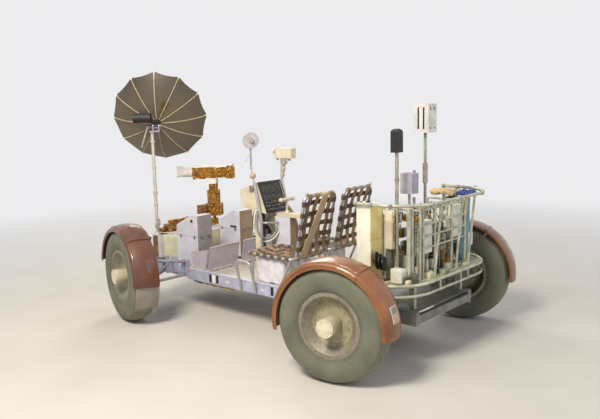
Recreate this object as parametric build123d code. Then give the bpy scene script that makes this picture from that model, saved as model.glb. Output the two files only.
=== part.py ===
# Crewed planetary rover: four driven wheels, all four steered, two folding seats,
# a display console, front antennas and camera, and a tool rack over the rear deck.
# Millimetres. +X is forward, +Y the rover's left, +Z up. The origin is on the ground,
# midway between the four steering pivots.

from build123d import *
from math import sin, cos, asin, radians, atan2, degrees, hypot, pi
import os

os.makedirs("parts", exist_ok=True)

# Driving dimensions
wheelbase = 2286.0
kingpin_track = 1660.0
wheel_offset = 84.5
tyre_radius = 409.0
tyre_width = 229.0
rim_radius = 232.0
fender_gap = 31.0
fender_radius = tyre_radius + fender_gap
frame_half_width = 450.0
end_frame_half_width = 400.0
rail_bottom = 310.0
rail_depth = 100.0
centre_front_x = 920.0
centre_rear_x = -620.0
front_overhang = 357.0
rear_overhang = 337.0
front_end_x = wheelbase / 2 + front_overhang
rear_end_x = -wheelbase / 2 - rear_overhang
seat_width = 385.0
seat_depth = 550.0
seat_height = 650.0
seat_back_height = 490.0
seat_inner_y = 55.0
seat_back_lean = 12.0
mast_x = 1450.0
mast_y = 371.0
dish_mast_height = 1715.0
dish_ribs = 12
dish_scallop = 8.0
dish_radius = 456.0
dish_depth = 165.0
rack_half_width = 600.0
rack_front_x = -1100.0
rack_rear_x = -1585.0
rack_deck_half_width = 645.0
rack_deck_rear_x = -1555.0
rack_deck_z = 632.0
rack_rail_z = 1185.0
rack_corner = 300.0

# Common clearances
seat_gap = 0.3
running_gap = 0.05

# Steering angles as the rover stands, in degrees about +Z
# columns: name, fore (+1 front, -1 rear), side (+1 left, -1 right), rest angle
corners = [
    ("front_left", 1, 1, -16.0),
    ("front_right", 1, -1, -24.0),
    ("rear_left", -1, 1, 11.0),
    ("rear_right", -1, -1, 16.0),
]

axle_z = tyre_radius


def save(name, *shapes):
    """Write one node from one shape or several that do not touch."""
    solids = [part for shape in shapes for part in shape.solids()]
    whole = solids[0] if len(solids) == 1 else Compound(children=solids)
    whole.label = name
    export_step(whole, f"parts/{name}.step")


def rod(a, b, radius):
    """Round bar between two points."""
    a = Vector(*a)
    b = Vector(*b)
    return Solid.make_cylinder(radius, (b - a).length, Plane(origin=a, z_dir=(b - a)))


def pipe(points, radius, bend, inner=0.0):
    """Bent round tube along corner points, with tangent bends."""
    if len(points) == 2:
        return rod(points[0], points[1], radius)
    path = FilletPolyline(*points, radius=bend)
    start = Plane(origin=path @ 0, z_dir=path % 0)
    return sweep(start * Circle(radius), path=path).solid()


def block(x0, x1, y0, y1, z0, z1, edge=0.0):
    """Box between two corners, with its upright edges rounded."""
    body = Pos((x0 + x1) / 2, (y0 + y1) / 2, (z0 + z1) / 2) * Box(x1 - x0, y1 - y0, z1 - z0)
    if edge > 0:
        body = fillet(body.edges().filter_by(Axis.Z), edge)
    return body


def join(shapes):
    """Fuse a list of solids."""
    first = shapes[0]
    return first.fuse(*shapes[1:]) if len(shapes) > 1 else first


# Wheels. Each wheel is drawn with its axle along +Y, outboard side up the axis.

rim_half_width = 90.0
rim_wall = 6.0
flange_inner = 205.0
disc_radius = 150.0
disc_wall = 6.0
disc_y = 8.0
hub_cap_radius = 64.0
hub_cap_end = 148.0
spindle_radius = 20.0
hub_bore_depth = 60.0
tyre_wall = 14.0


def spin(outline, angle=360.0, start=0.0):
    """Revolve a face drawn in the YZ plane (Y axial, Z radial) about the Y axis."""
    return revolve(outline, axis=Axis.Y, revolution_arc=angle)


def tyre_outline(grow):
    """Closed outline of the tyre section, taken in by grow."""
    seat = rim_half_width - 1.0 - grow
    bulge = tyre_width / 2 - grow
    crown = tyre_radius - grow
    shoulder_y = tyre_width * 0.41 - grow
    shoulder_r = tyre_radius * 0.93 - grow
    foot = rim_radius + seat_gap
    with BuildSketch(Plane.YZ) as s:
        with BuildLine():
            Line((-seat, foot), (seat, foot))
            ThreePointArc((seat, foot), (bulge, (foot + shoulder_r) / 2), (shoulder_y, shoulder_r))
            ThreePointArc((shoulder_y, shoulder_r), (0, crown), (-shoulder_y, shoulder_r))
            ThreePointArc((-shoulder_y, shoulder_r), (-bulge, (foot + shoulder_r) / 2), (-seat, foot))
        make_face()
    return s.sketch


def make_tyre():
    """Ring tyre, hollow, open where it sits on the rim."""
    outer = spin(tyre_outline(0.0))
    inner = spin(tyre_outline(tyre_wall))
    return (outer - inner).solid()


def make_disc():
    """Rim barrel, flanges, dished disc and hub cap in one turned piece."""
    with BuildSketch(Plane.YZ) as s:
        with BuildLine():
            Polyline(
                (-rim_half_width, rim_radius),
                (rim_half_width, rim_radius),
                (rim_half_width, flange_inner),
                (rim_half_width - rim_wall, flange_inner),
                (disc_y + disc_wall + 26, disc_radius + 12),
                (disc_y + disc_wall, disc_radius - 14),
                (disc_y + disc_wall, hub_cap_radius),
                (hub_cap_end, hub_cap_radius),
                (hub_cap_end, 0),
                (disc_y + hub_bore_depth, 0),
                (disc_y + hub_bore_depth, spindle_radius + running_gap),
                (disc_y - 16, spindle_radius + running_gap),
                (disc_y - 16, hub_cap_radius - 8),
                (disc_y, hub_cap_radius + 8),
                (disc_y, disc_radius - 12),
                (disc_y + 26, disc_radius + 16),
                (rim_half_width - rim_wall - 6, rim_radius - rim_wall),
                (-rim_half_width + rim_wall, rim_radius - rim_wall),
                (-rim_half_width + rim_wall, flange_inner),
                (-rim_half_width, flange_inner),
                (-rim_half_width, rim_radius),
            )
        make_face()
    return spin(s.sketch).solid()


# Hub drive: housing, spindle and the two pins it steers on

drive_radius = 92.0
drive_inner = -wheel_offset - 66.0
drive_outer = -14.0
kingpin_rise = 112.0
pin_radius = 13.0
eye_radius = 24.0
eye_height = 30.0
stay_eye_height = 12.0
pin_top = kingpin_rise + eye_height / 2 + 22.0


def make_hub_drive():
    """Housing with spindle and steering pins, axle along +Y."""
    drive = rod((0, -wheel_offset + 30, 0), (0, drive_outer, 0), drive_radius)
    neck = rod((0, -wheel_offset - 34, 0), (0, -wheel_offset + 30, 0), drive_radius * 0.72)
    motor = rod((0, drive_inner, 0), (0, -wheel_offset - 34, 0), drive_radius * 0.6)
    spindle = rod((0, drive_outer, 0), (0, disc_y + hub_bore_depth - 6, 0), spindle_radius)
    parts = [drive, neck, motor, spindle]
    lug_top = kingpin_rise - eye_height / 2 - seat_gap
    for end in (1, -1):
        lug = Box(44, 44, lug_top - 40)
        parts.append(Pos(0, -wheel_offset, end * (lug_top + 40) / 2) * lug)
        far = pin_top if end > 0 else kingpin_rise + eye_height / 2 + 6
        parts.append(rod((0, -wheel_offset, end * (lug_top - 4)), (0, -wheel_offset, end * far), pin_radius))
    return join(parts).solid()


# Fenders: a domed strip turned about the axle, its outer edge curled down

fender_wall = 4.0
fender_inner_y = -105.0
fender_crest_y = -5.0
fender_shoulder_y = 95.0
fender_outer_y = 120.0
fender_rise = 16.0
fender_curl = 45.0
stay_radius = 7.0
stay_y = -132.0
stay_angles = (58.0, 122.0)


def fender_section(grow=0.0):
    """Thin domed strip, its section in the axle plane; grow thickens it outward."""
    r = fender_radius + grow
    t = fender_wall
    lip = fender_radius - 18
    curl = fender_radius - fender_curl
    with BuildSketch(Plane.YZ) as s:
        with BuildLine():
            Line((fender_inner_y - grow, lip), (fender_inner_y - grow, r))
            ThreePointArc((fender_inner_y - grow, r), (fender_crest_y, r + fender_rise),
                          (fender_shoulder_y, r))
            ThreePointArc((fender_shoulder_y, r), (fender_outer_y - 6 + grow, r - 14),
                          (fender_outer_y + grow, curl))
            Line((fender_outer_y + grow, curl), (fender_outer_y - t, curl))
            ThreePointArc((fender_outer_y - t, curl), (fender_outer_y - 7 - t, fender_radius - 16 - t * 0.5),
                          (fender_shoulder_y - 1, fender_radius - t))
            ThreePointArc((fender_shoulder_y - 1, fender_radius - t),
                          (fender_crest_y, fender_radius + fender_rise - t),
                          (fender_inner_y + t, fender_radius - t))
            Line((fender_inner_y + t, fender_radius - t), (fender_inner_y + t, lip))
            Line((fender_inner_y + t, lip), (fender_inner_y - grow, lip))
        make_face()
    return s.sketch


def turned_strip(section, start, end):
    """Section swept round the axle from angle start to end, angle 0 forward and 90 up."""
    strip = revolve(section, axis=Axis.Y, revolution_arc=end - start)
    return Rot(0, 90 - end, 0) * strip


def make_fender(start, end, rib, flap_end):
    """Strip, cross rib, flap and the stays to the upper steering pin."""
    pieces = [turned_strip(fender_section(), start, end)]
    pieces.append(turned_strip(fender_section(3.0), rib - 1.5, rib + 1.5))
    eye = rod((0, -wheel_offset, pin_top - 2 - stay_eye_height), (0, -wheel_offset, pin_top - 2), eye_radius)
    knee = (0, stay_y, pin_top + 44)
    pieces.append(rod((0, -wheel_offset - 18, pin_top - 8), knee, stay_radius + 2))
    pieces.append(Pos(*knee) * Sphere(stay_radius + 2))
    for a in stay_angles:
        reach = fender_radius - 14
        bend = (cos(radians(a)) * (reach - 16), stay_y, sin(radians(a)) * (reach - 16))
        tip = (cos(radians(a)) * reach, fender_inner_y - 2, sin(radians(a)) * reach)
        pieces.append(rod(knee, bend, stay_radius))
        pieces.append(rod(bend, tip, stay_radius))
        pieces.append(Pos(*bend) * Sphere(stay_radius))
    if flap_end is not None:
        flap = turned_strip(flap_section(), min(end, flap_end) - 1, max(end, flap_end))
        pieces.append(flap)
    bore = rod((0, -wheel_offset, 0), (0, -wheel_offset, pin_top + 20), pin_radius + seat_gap)
    whole = join(pieces)
    return (whole.fuse(eye) - bore).solid()


def flap_section():
    """Flat strip of the mud flap, inside the fender."""
    r = fender_radius - 12
    with BuildSketch(Plane.YZ) as s:
        with BuildLine():
            Polyline((fender_inner_y + 1, r), (fender_shoulder_y + 8, r), (fender_shoulder_y + 8, r + 5),
                     (fender_inner_y + 1, r + 5), (fender_inner_y + 1, r))
        make_face()
    return s.sketch


def place_corner(shape, fore, side, angle, flip=False):
    """Move a wheel-frame shape to its corner. The left frame has +Y outboard; the right one is its mirror."""
    local = Pos(0, wheel_offset, 0) * shape
    if side < 0:
        local = mirror(local, Plane.XZ)
    return Pos(fore * wheelbase / 2, side * kingpin_track / 2, axle_z) * Rot(0, 0, angle) * local


tyre_shape = make_tyre()
disc_shape = make_disc()
drive_shape = make_hub_drive()
front_fender = make_fender(10.0, 183.0, 128.0, 212.0)
rear_fender = make_fender(-10.0, 186.0, 120.0, None)
fender_shapes = {1: front_fender, -1: rear_fender}

for name, fore, side, angle in corners:
    save(f"tyre_{name}", place_corner(tyre_shape, fore, side, angle))
    save(f"wheel_disc_{name}", place_corner(disc_shape, fore, side, angle))
    save(f"hub_drive_{name}", place_corner(drive_shape, fore, side, angle))
    save(f"fender_{name}", place_corner(fender_shapes[fore], fore, side, angle))

# Suspension arms, four corners: an upper and a lower A-arm and a damper strut

arm_tube = 13.0
arm_spread = 150.0
arm_inner_y = end_frame_half_width + 19.0
lower_inner_z = rail_bottom + 26.0
upper_inner_z = rail_bottom + rail_depth + 46.0

damper_foot_y = kingpin_track / 2 - 120.0
damper_head = (end_frame_half_width + 26.0, rail_bottom + rail_depth + 62.0)
arm_slope = (arm_spread - eye_radius * 0.4) / (kingpin_track / 2 - arm_inner_y)

arm_sets = {1: [], -1: []}
for name, fore, side, angle in corners:
    kx = fore * wheelbase / 2
    ky = side * kingpin_track / 2
    pieces = []
    for rise, inner_z in ((-1, lower_inner_z), (1, upper_inner_z)):
        ez = axle_z + rise * (kingpin_rise + seat_gap)
        eye = rod((kx, ky, ez - eye_height / 2), (kx, ky, ez + eye_height / 2), eye_radius)
        bore = rod((kx, ky, ez - eye_height), (kx, ky, ez + eye_height), pin_radius + running_gap)
        arms = [eye]
        for way in (1, -1):
            inner = (kx + way * arm_spread, side * arm_inner_y, inner_z)
            outer = (kx + way * eye_radius * 0.4, ky - side * eye_radius * 0.6, ez)
            arms.append(rod(inner, outer, arm_tube))
            arms.append(rod((inner[0] - 24.7, inner[1], inner[2]), (inner[0] + 24.7, inner[1], inner[2]),
                            arm_tube + 4))
        if rise < 0:
            share = (kingpin_track / 2 - damper_foot_y) / (kingpin_track / 2 - arm_inner_y)
            bar_z = ez + (inner_z - ez) * share
            half = eye_radius * 0.4 + arm_slope * 120.0
            foot = (kx, side * damper_foot_y, bar_z + 4)
            head = (kx, side * (damper_head[0] + 5), damper_head[1])
            middle = tuple(foot[i] + (head[i] - foot[i]) * 0.62 for i in range(3))
            arms.append(rod((kx - half, side * damper_foot_y, bar_z),
                            (kx + half, side * damper_foot_y, bar_z), 9))
            arms.append(rod(foot, middle, 17))
            arms.append(rod(foot, head, 9))
            arms.append(rod((kx - 8.7, head[1], head[2]), (kx + 8.7, head[1], head[2]), 13))
        pieces.append(join(arms) - bore)
    arm_sets[fore] += pieces
save("front_suspension", *arm_sets[1])
save("rear_suspension", *arm_sets[-1])

# Chassis: centre ladder frame, forward and aft frames, and the floor

rail_width = 45.0
slot_positions = [620.0, 530.0, -135.0]
slot_length = 34.0


def side_rail(x0, x1, half_width, side, slots=()):
    y0 = side * half_width
    y1 = side * (half_width - rail_width)
    rail = block(x0, x1, min(y0, y1), max(y0, y1), rail_bottom, rail_bottom + rail_depth)
    for sx in slots:
        y_mid = side * (half_width - 4)
        rail -= Pos(sx, y_mid, rail_bottom + rail_depth / 2) * Box(slot_length, 12, rail_depth - 26)
    return rail


cross_members = [-602.0, -230.0, 160.0, 540.0, 902.0]
centre = []
for side in (1, -1):
    centre.append(side_rail(centre_rear_x, centre_front_x, frame_half_width, side, slot_positions))
for cx in cross_members:
    inner = frame_half_width - rail_width
    reach = inner - seat_gap
    centre.append(block(cx - 18, cx + 18, -reach, reach, rail_bottom + 10, rail_bottom + rail_depth - 30))
save("centre_frame", *centre)

floor_z = rail_bottom + rail_depth - 30 + seat_gap
floor_thickness = 4.0
floor = block(centre_rear_x + 4, centre_front_x - 4, -frame_half_width + rail_width + 1,
              frame_half_width - rail_width - 1, floor_z, floor_z + floor_thickness)
beads = []
bead_count = 9
for i in range(bead_count):
    by = (i - (bead_count - 1) / 2) * 84
    beads.append(block(centre_rear_x + 60, centre_front_x - 60, by - 9, by + 9, floor_z + 3, floor_z + 9))
floor_top = floor_z + 9 + seat_gap


def end_frame(x_near, x_far, members, fore):
    pieces = []
    lo = min(x_near, x_far)
    hi = max(x_near, x_far)
    for side in (1, -1):
        rail = [side_rail(lo, hi, end_frame_half_width, side)]
        # arm brackets stand on the rail's outer face
        for way in (1, -1):
            bx = fore * wheelbase / 2 + way * arm_spread
            y0 = side * end_frame_half_width
            y_low = min(y0 - side * 3, y0 + side * 34)
            y_high = max(y0 - side * 3, y0 + side * 34)
            rail.append(block(bx - 40, bx - 25, y_low, y_high, rail_bottom + 4, upper_inner_z + 22))
            rail.append(block(bx + 25, bx + 40, y_low, y_high, rail_bottom + 4, upper_inner_z + 22))
        px = fore * wheelbase / 2
        y0 = side * end_frame_half_width
        for way in (1, -1):
            lo_x = min(px + way * 9, px + way * 19)
            y_low = min(y0 - side * 3, y0 + side * 48)
            y_high = max(y0 - side * 3, y0 + side * 48)
            rail.append(block(lo_x, lo_x + 10, y_low, y_high, rail_bottom + 30, damper_head[1] + 16))
        pieces.append(join(rail))
    for cx in members:
        inner = end_frame_half_width - rail_width - seat_gap
        pieces.append(block(cx - 18, cx + 18, -inner, inner, rail_bottom + 10, rail_bottom + rail_depth - 30))
    return pieces


front_cross = [centre_front_x + 30, wheelbase / 2, wheelbase / 2 + 177, front_end_x - 20]
rear_cross = [centre_rear_x - 30, centre_rear_x - 280, -wheelbase / 2, rear_end_x + 20]
save("forward_frame", *end_frame(centre_front_x + seat_gap, front_end_x, front_cross, 1))
save("aft_frame", *end_frame(centre_rear_x - seat_gap, rear_end_x, rear_cross, -1))

# Decks over the end frames
deck_z = rail_bottom + rail_depth + seat_gap
deck_half_width = end_frame_half_width - 4
forward_deck = block(centre_front_x + 10, front_end_x - 5, -deck_half_width, deck_half_width,
                     deck_z, deck_z + 5)
aft_deck = block(rear_end_x + 5, centre_rear_x - 10, -deck_half_width, deck_half_width, deck_z, deck_z + 5)
footrest_inner_y = 28.0
footrest_outer_y = 392.0
footrest_pivot_x = 716.0
footrest_pivot_z = floor_top + 13.0
hinge_ears = []
for side in (1, -1):
    for y in (footrest_inner_y - 7, footrest_outer_y + 7):
        ear = block(footrest_pivot_x - 14, footrest_pivot_x + 14, side * y - 4, side * y + 4,
                    floor_z + 2, footrest_pivot_z + 14)
        hinge_ears.append(ear - rod((footrest_pivot_x, side * y - 9, footrest_pivot_z),
                                    (footrest_pivot_x, side * y + 9, footrest_pivot_z), 9 + running_gap))
save("floor_panels", join([floor] + beads + hinge_ears), forward_deck, aft_deck)
deck_top = deck_z + 5 + seat_gap

# Front equipment
relay_top = 654.0 + seat_gap
box_x0 = 885.0
box_x1 = 1185.0
box_in_y = 170.0
box_out_y = 350.0
box_top = 880.0
box_slope_start = 93.0
box_slope_drop = 105.0


def sloped_box(x0, x1, y0, y1, top):
    """Closed box whose lid slopes down toward the front."""
    with BuildSketch(Plane.XZ) as side_view:
        with BuildLine():
            Polyline((x0, deck_top), (x0, top), (x0 + box_slope_start, top - 2),
                     (x1, top - box_slope_drop), (x1, deck_top), (x0, deck_top))
        make_face()
    body = Pos(0, y1, 0) * extrude(side_view.sketch, amount=y1 - y0)
    return fillet(body.edges().filter_by(Axis.Z), 8)


left_box = sloped_box(box_x0, box_x1, box_in_y, box_out_y, box_top)
right_box = sloped_box(box_x0 - 17, box_x1 - 27, -box_out_y, -box_in_y, box_top - 20)
save("equipment_boxes", left_box, right_box)

save("battery_cover", block(box_x1 + 1, 1405, -box_out_y, box_out_y, deck_top, 655, 10))
mast_shelf = block(1411, 1490, -400, 400, deck_top, 654)
save("relay_unit", join([mast_shelf, block(1412, 1488, -270, 270, 640, 740, 6),
                         block(1415, 1475, -235, -155, 730, 875, 5)]))

# Footrests: hinged plates ahead of each seat
footrest_length = 215.0
footrest_lean = 11.5

for label, side in (("left", 1), ("right", -1)):
    width = footrest_outer_y - footrest_inner_y
    plate = Pos(0, 0, footrest_length / 2 + 4) * Box(6, width, footrest_length)
    hinge = rod((0, -width / 2 - 10, 0), (0, width / 2 + 10, 0), 9)
    roll = rod((0, -width / 2, footrest_length + 4), (0, width / 2, footrest_length + 4), 7)
    rest = join([plate, hinge, roll])
    middle = side * (footrest_inner_y + footrest_outer_y) / 2
    place = Pos(footrest_pivot_x, middle, footrest_pivot_z) * Rot(0, -footrest_lean, 0)
    save(f"{label}_footrest", place * rest)

# Side panels on the rails beside the footrests, each with a flange turned in
panel_y = 428.0
panel_rear = [(719, 410.3), (672, 605)]
panel_front = [(906, 558), (850, 410.3)]
panels = []
for side in (1, -1):
    with BuildSketch(Plane.XZ) as panel_view:
        with BuildLine():
            Polyline(*panel_rear, *panel_front, panel_rear[0])
        make_face()
    sheet = Pos(0, side * panel_y + 1.5, 0) * extrude(panel_view.sketch, amount=3)
    with BuildSketch(Plane.XZ) as flange_view:
        with BuildLine():
            Polyline((717, 416), (673, 605), (670, 605), (714, 416), (717, 416))
        make_face()
    reach = 21.0
    top_y = max(side * panel_y, side * (panel_y - reach))
    flange = Pos(0, top_y, 0) * extrude(flange_view.sketch, amount=reach)
    panels.append(sheet.fuse(flange))
save("side_panels", *panels)

# Console on its post
console_half = 150.0
post_x = 420.0
console_profile = [(517, 1128), (300, 1205), (190, 935), (499, 973)]
with BuildSketch(Plane.XZ) as cs:
    with BuildLine():
        Polyline(*console_profile, console_profile[0])
    make_face()
console = extrude(cs.sketch, amount=console_half, both=True)
post = block(post_x - 35, post_x + 35, -30, 30, floor_top, 985)
dial_tilt = degrees(atan2(300 - 190, 1205 - 935))
pocket = Pos(245, 0, 1070) * Rot(0, dial_tilt, 0) * Box(12, 2 * console_half - 24, 264)
save("display_console", (console - pocket).fuse(post))

# Hand controller on its pedestal between the seats
pedestal = block(20, 200, -38, 38, floor_top, 905, 6)
armrest = block(-150, 180, -40, 40, 905 + seat_gap, 935, 10)
save("armrest_pedestal", pedestal, armrest)
stick = join([rod((85, 0, 935 + seat_gap), (85, 0, 1040), 9), rod((85, -75, 1055), (85, 75, 1055), 16),
              rod((85, 0, 1030), (85, 0, 1045), 12)])
save("hand_controller", stick)

# Inboard handholds beside the console; the antenna and film camera staffs rise from them
handhold_y = 178.0
hold_foot_x = 230.0
hold_bend_z = 880.0
hold_lean = 0.2235
hold_top_z = 1215.0
handholds = []
for side in (1, -1):
    y = side * handhold_y
    top = (hold_foot_x + (hold_top_z - hold_bend_z) * hold_lean, y, hold_top_z)
    handholds.append(pipe([(hold_foot_x, y, floor_top), (hold_foot_x, y, hold_bend_z), top], 12, 60))
branch = pipe([(hold_foot_x - 12.3, handhold_y, 862), (170, handhold_y, 862), (158, 41.4, 850)], 10, 12)

# Toeholds outboard on the side rails
hoops = []
for side in (1, -1):
    y = side * (frame_half_width + 11 + seat_gap)
    top = side * 60
    hoop = pipe([(40, y, rail_bottom + 6), (40, y + top, 590),
                 (215, y + top, 590), (215, y, rail_bottom + 6)], 11, 40)
    hoops.append(hoop)
save("toeholds", *hoops)

# Seats: pan frame with webbing, folding back with webbing, bag under the pan
pan_front_x = 150.0
pan_rear_x = pan_front_x - seat_depth
tube_r = 13.0
hinge_rise = 36.0
web_gap = 0.5


def loop_frame(x0, x1, y0, y1, z, r, bend):
    """Rectangular tube loop lying flat, joined at the middle of its rear run."""
    mid = (y0 + y1) / 2
    pts = [(x0, mid - 1, z), (x0, y0, z), (x1, y0, z), (x1, y1, z), (x0, y1, z), (x0, mid + 1, z)]
    return join([pipe(pts, r, bend), rod((x0, mid - 8, z), (x0, mid + 8, z), r)])


pans = []
pan_webs = []
bags = []
for label, side in (("left", 1), ("right", -1)):
    y0 = min(side * seat_inner_y, side * (seat_inner_y + seat_width))
    y1 = y0 + seat_width
    inner = side * seat_inner_y
    outer = side * (seat_inner_y + seat_width)
    pan = [loop_frame(pan_rear_x + 40, pan_front_x, y0, y1, seat_height, tube_r, 45.0)]
    rail_top = rail_bottom + rail_depth + seat_gap
    front_leg_x = pan_front_x - 60
    rear_foot_x = -226.0
    for y, foot_z in ((inner, floor_top), (outer - side * 2, rail_top)):
        pan.append(rod((front_leg_x, y, foot_z), (front_leg_x, y, seat_height), 10))
        pan.append(rod((rear_foot_x, y, foot_z + 9), (pan_rear_x + 60, y, seat_height), 10))
        pan.append(rod((rear_foot_x, y, foot_z), (rear_foot_x, y, foot_z + 14), 14))
    hinge_z = seat_height + hinge_rise
    bore = rod((pan_rear_x, y0, hinge_z), (pan_rear_x, y1, hinge_z), tube_r + running_gap)
    for y in (y0 + 28, y1 - 28):
        pan.append(rod((pan_rear_x, y - 4, hinge_z), (pan_rear_x, y + 4, hinge_z), tube_r + 7))
        reach = hypot(40, hinge_rise)
        strap = Box(reach, 8, 26)
        slope = Rot(0, degrees(atan2(hinge_rise, 40)), 0)
        pan.append(Pos(pan_rear_x + 20, y, (hinge_z + seat_height) / 2) * slope * strap)
    pans.append(join(pan) - bore)
    pan_webs.append(block(pan_rear_x + 58 + tube_r + web_gap, pan_front_x - tube_r - web_gap,
                          y0 + tube_r + web_gap, y1 - tube_r - web_gap, seat_height - 8, seat_height + 6, 40))
    # the back turns on a line just above the rear of the pan
    up = Rot(0, -seat_back_lean, 0)
    mid = (y0 + y1) / 2
    half = seat_width / 2 - 4
    hoop = pipe([(0, -half, 0), (0, -half, seat_back_height),
                 (0, half, seat_back_height), (0, half, 0)], tube_r, 45)
    bar = rod((0, -half, 0), (0, half, 0), tube_r)
    knob = Pos(0, side * (half - 20), seat_back_height + tube_r + 8) * Sphere(13)
    place = Pos(pan_rear_x, mid, hinge_z) * up
    save(f"{label}_seat_back", place * join([hoop, bar, knob]))
    web_half = half - tube_r - web_gap
    web_foot = 34.0
    web_top = seat_back_height - tube_r - web_gap
    web = Pos(0, 0, (web_foot + web_top) / 2) * Box(14, 2 * web_half, web_top - web_foot)
    web = fillet(web.edges().filter_by(Axis.X).sort_by(Axis.Z)[-2:], 34)
    save(f"{label}_back_webbing", place * web)
    y_low = min(inner + side * 25, outer - side * 24)
    y_high = max(inner + side * 25, outer - side * 24)
    bag = block(-240, 70, y_low, y_high, rail_bottom + rail_depth + seat_gap, seat_height - 20, 20)
    bags.append(bag)
save("seat_pans", *pans)
save("pan_webbing", *pan_webs)
save("under_seat_bags", *bags)

# Film camera on the right handhold
film_y = -handhold_y
staff_x = hold_foot_x + (hold_top_z - hold_bend_z) * hold_lean
staff_radius = 9.0
staff_foot_z = hold_top_z + staff_radius * hold_lean + seat_gap
film = [rod((staff_x, film_y, staff_foot_z), (staff_x, film_y, 1400), staff_radius)]
film.append(rod((staff_x, film_y, 1262), (staff_x, film_y, 1290), 15))
film.append(block(155, 345, film_y - 36, film_y + 36, 1396, 1484, 6))
film.append(rod((345, film_y, 1455), (392, film_y, 1455), 24))
film.append(block(345, 372, film_y - 16, film_y + 16, 1390, 1428))
save("film_camera", join(film))

# Low-gain antenna on the left handhold, its head turning on the staff
low_y = handhold_y
head_z = 1490.0
staff_foot = (staff_x + seat_gap * hold_lean, low_y, hold_top_z + seat_gap)
low_x = staff_x + 30.0
staff_bend = (low_x, low_y, hold_top_z + 140)
low_staff = pipe([staff_foot, staff_bend, (low_x, low_y, head_z)], 9, 60)
low_staff = low_staff.fuse(Pos(staff_x + 12, low_y, hold_top_z + 50) * Sphere(27))
save("handholds", low_staff, branch, *handholds)
low_azimuth = 150.0
head_turn = Pos(low_x, low_y, 0) * Rot(0, 0, low_azimuth)
head = [rod((0, 0, head_z + seat_gap), (0, 0, head_z + 30), 13)]
head.append(rod((6, 0, head_z + 82), (24, 0, head_z + 82), 70))
head.append(rod((10, 0, head_z + 20), (10, 0, head_z + 70), 8))
head.append(rod((24, 0, head_z + 82), (40, 0, head_z + 82), 12))
save("low_gain_head", head_turn * join(head))

# High-gain antenna: mast, swivel block and umbrella dish
dish_azimuth = -49.5
dish_elevation = 23.0
dish_skin = 3.0
dish_standoff = 68.0
dish_offset = -40.0
swivel_z = dish_mast_height - 80.0
tilt_z = dish_mast_height - 20.0

save("dish_mast", join([rod((mast_x, mast_y, relay_top), (mast_x, mast_y, swivel_z), 15),
                        rod((mast_x, mast_y, 1048), (mast_x, mast_y, 1076), 24)]))
fork = [rod((0, 0, swivel_z + seat_gap), (0, 0, swivel_z + 18), 26)]
fork.append(block(-16, 16, dish_offset - 33, 20, swivel_z + 6, swivel_z + 18))
for way in (1, -1):
    y = dish_offset + way * 28
    fork.append(block(-16, 16, y - 5, y + 5, swivel_z + 6, tilt_z + 16))
    fork.append(rod((0, y - 5, tilt_z), (0, y + 5, tilt_z), 18))
fork_turn = Pos(mast_x, mast_y, 0) * Rot(0, 0, dish_azimuth)
pivot_bore = rod((0, dish_offset - 60, tilt_z), (0, dish_offset + 60, tilt_z), 8 + running_gap)
save("dish_swivel", fork_turn * (join(fork) - pivot_bore))

# The bowl is a shallow dish cut back between its rib tips, ribs down its back
bowl_curve = (dish_radius ** 2 + dish_depth ** 2) / (2 * dish_depth)

def bowl_band(low, high, r0, r1):
    """Section between two offsets of the bowl's round curve, from radius r0 to r1."""
    starts, ends = asin(r0 / bowl_curve), asin(r1 / bowl_curve)

    def at(offset, angle):
        away = bowl_curve - offset
        return (away * sin(angle), bowl_curve - away * cos(angle))

    middle = (starts + ends) / 2
    with BuildSketch(Plane.XZ) as band:
        with BuildLine():
            ThreePointArc(at(low, starts), at(low, middle), at(low, ends))
            Line(at(low, ends), at(high, ends))
            ThreePointArc(at(high, ends), at(high, middle), at(high, starts))
            Line(at(high, starts), at(low, starts))
        make_face()
    return band.sketch


bowl = revolve(bowl_band(0, dish_skin, 0, dish_radius), axis=Axis.Z)
half_gore = pi / dish_ribs
chord_half = dish_radius * sin(half_gore)
chord_far = dish_radius * cos(half_gore)
bite_radius = (chord_half ** 2 + dish_scallop ** 2) / (2 * dish_scallop)
bite_centre = chord_far - dish_scallop + bite_radius
rib_arc = extrude(bowl_band(-8, 0.5, 30, dish_radius - 1), amount=6)
bites = []
ribs = []
for i in range(dish_ribs):
    bite = Pos(bite_centre, 0, dish_depth) * Cylinder(bite_radius, dish_depth)
    bites.append(Rot(0, 0, (i + 0.5) * 360 / dish_ribs) * bite)
    ribs.append(Rot(0, 0, i * 360 / dish_ribs) * Pos(0, 3, 0) * rib_arc)
bowl = (bowl - bites).fuse(*ribs)
dish_place = Pos(0, dish_offset, tilt_z) * Rot(0, 90 - dish_elevation, 0) * Pos(0, 0, dish_standoff)
save("dish_mesh", fork_turn * dish_place * bowl)

hub_gap = 8.0 + seat_gap
feed = [rod((0, 0, -dish_standoff), (0, 0, -hub_gap), 20)]
feed.append(rod((0, -33, -dish_standoff), (0, 33, -dish_standoff), 8))
feed.append(rod((0, -22.5, -dish_standoff), (0, 22.5, -dish_standoff), 20))
feed.append(rod((0, 0, -30), (0, 0, -hub_gap), 44))
feed.append(rod((-80, 40, -58), (-80, 205, -58), 46))
feed.append(rod((-80, 120, -50), (-20, 10, -36), 12))
feed.append(pipe([(0, 30, -dish_standoff), (0, 78, -dish_standoff), (215, 165, -dish_standoff - 10)], 7, 16))
stem_foot = dish_skin + seat_gap + 0.5
stem = [rod((0, 0, stem_foot), (0, 0, 430), 8), rod((0, 0, stem_foot), (0, 0, 26), 24)]
crown = rod((0, 0, 415), (0, 0, 455), 42) - rod((0, 0, 425), (0, 0, 470), 36)
stem.append(crown)
save("dish_feed", fork_turn * dish_place * join(feed), fork_turn * dish_place * join(stem))

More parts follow.
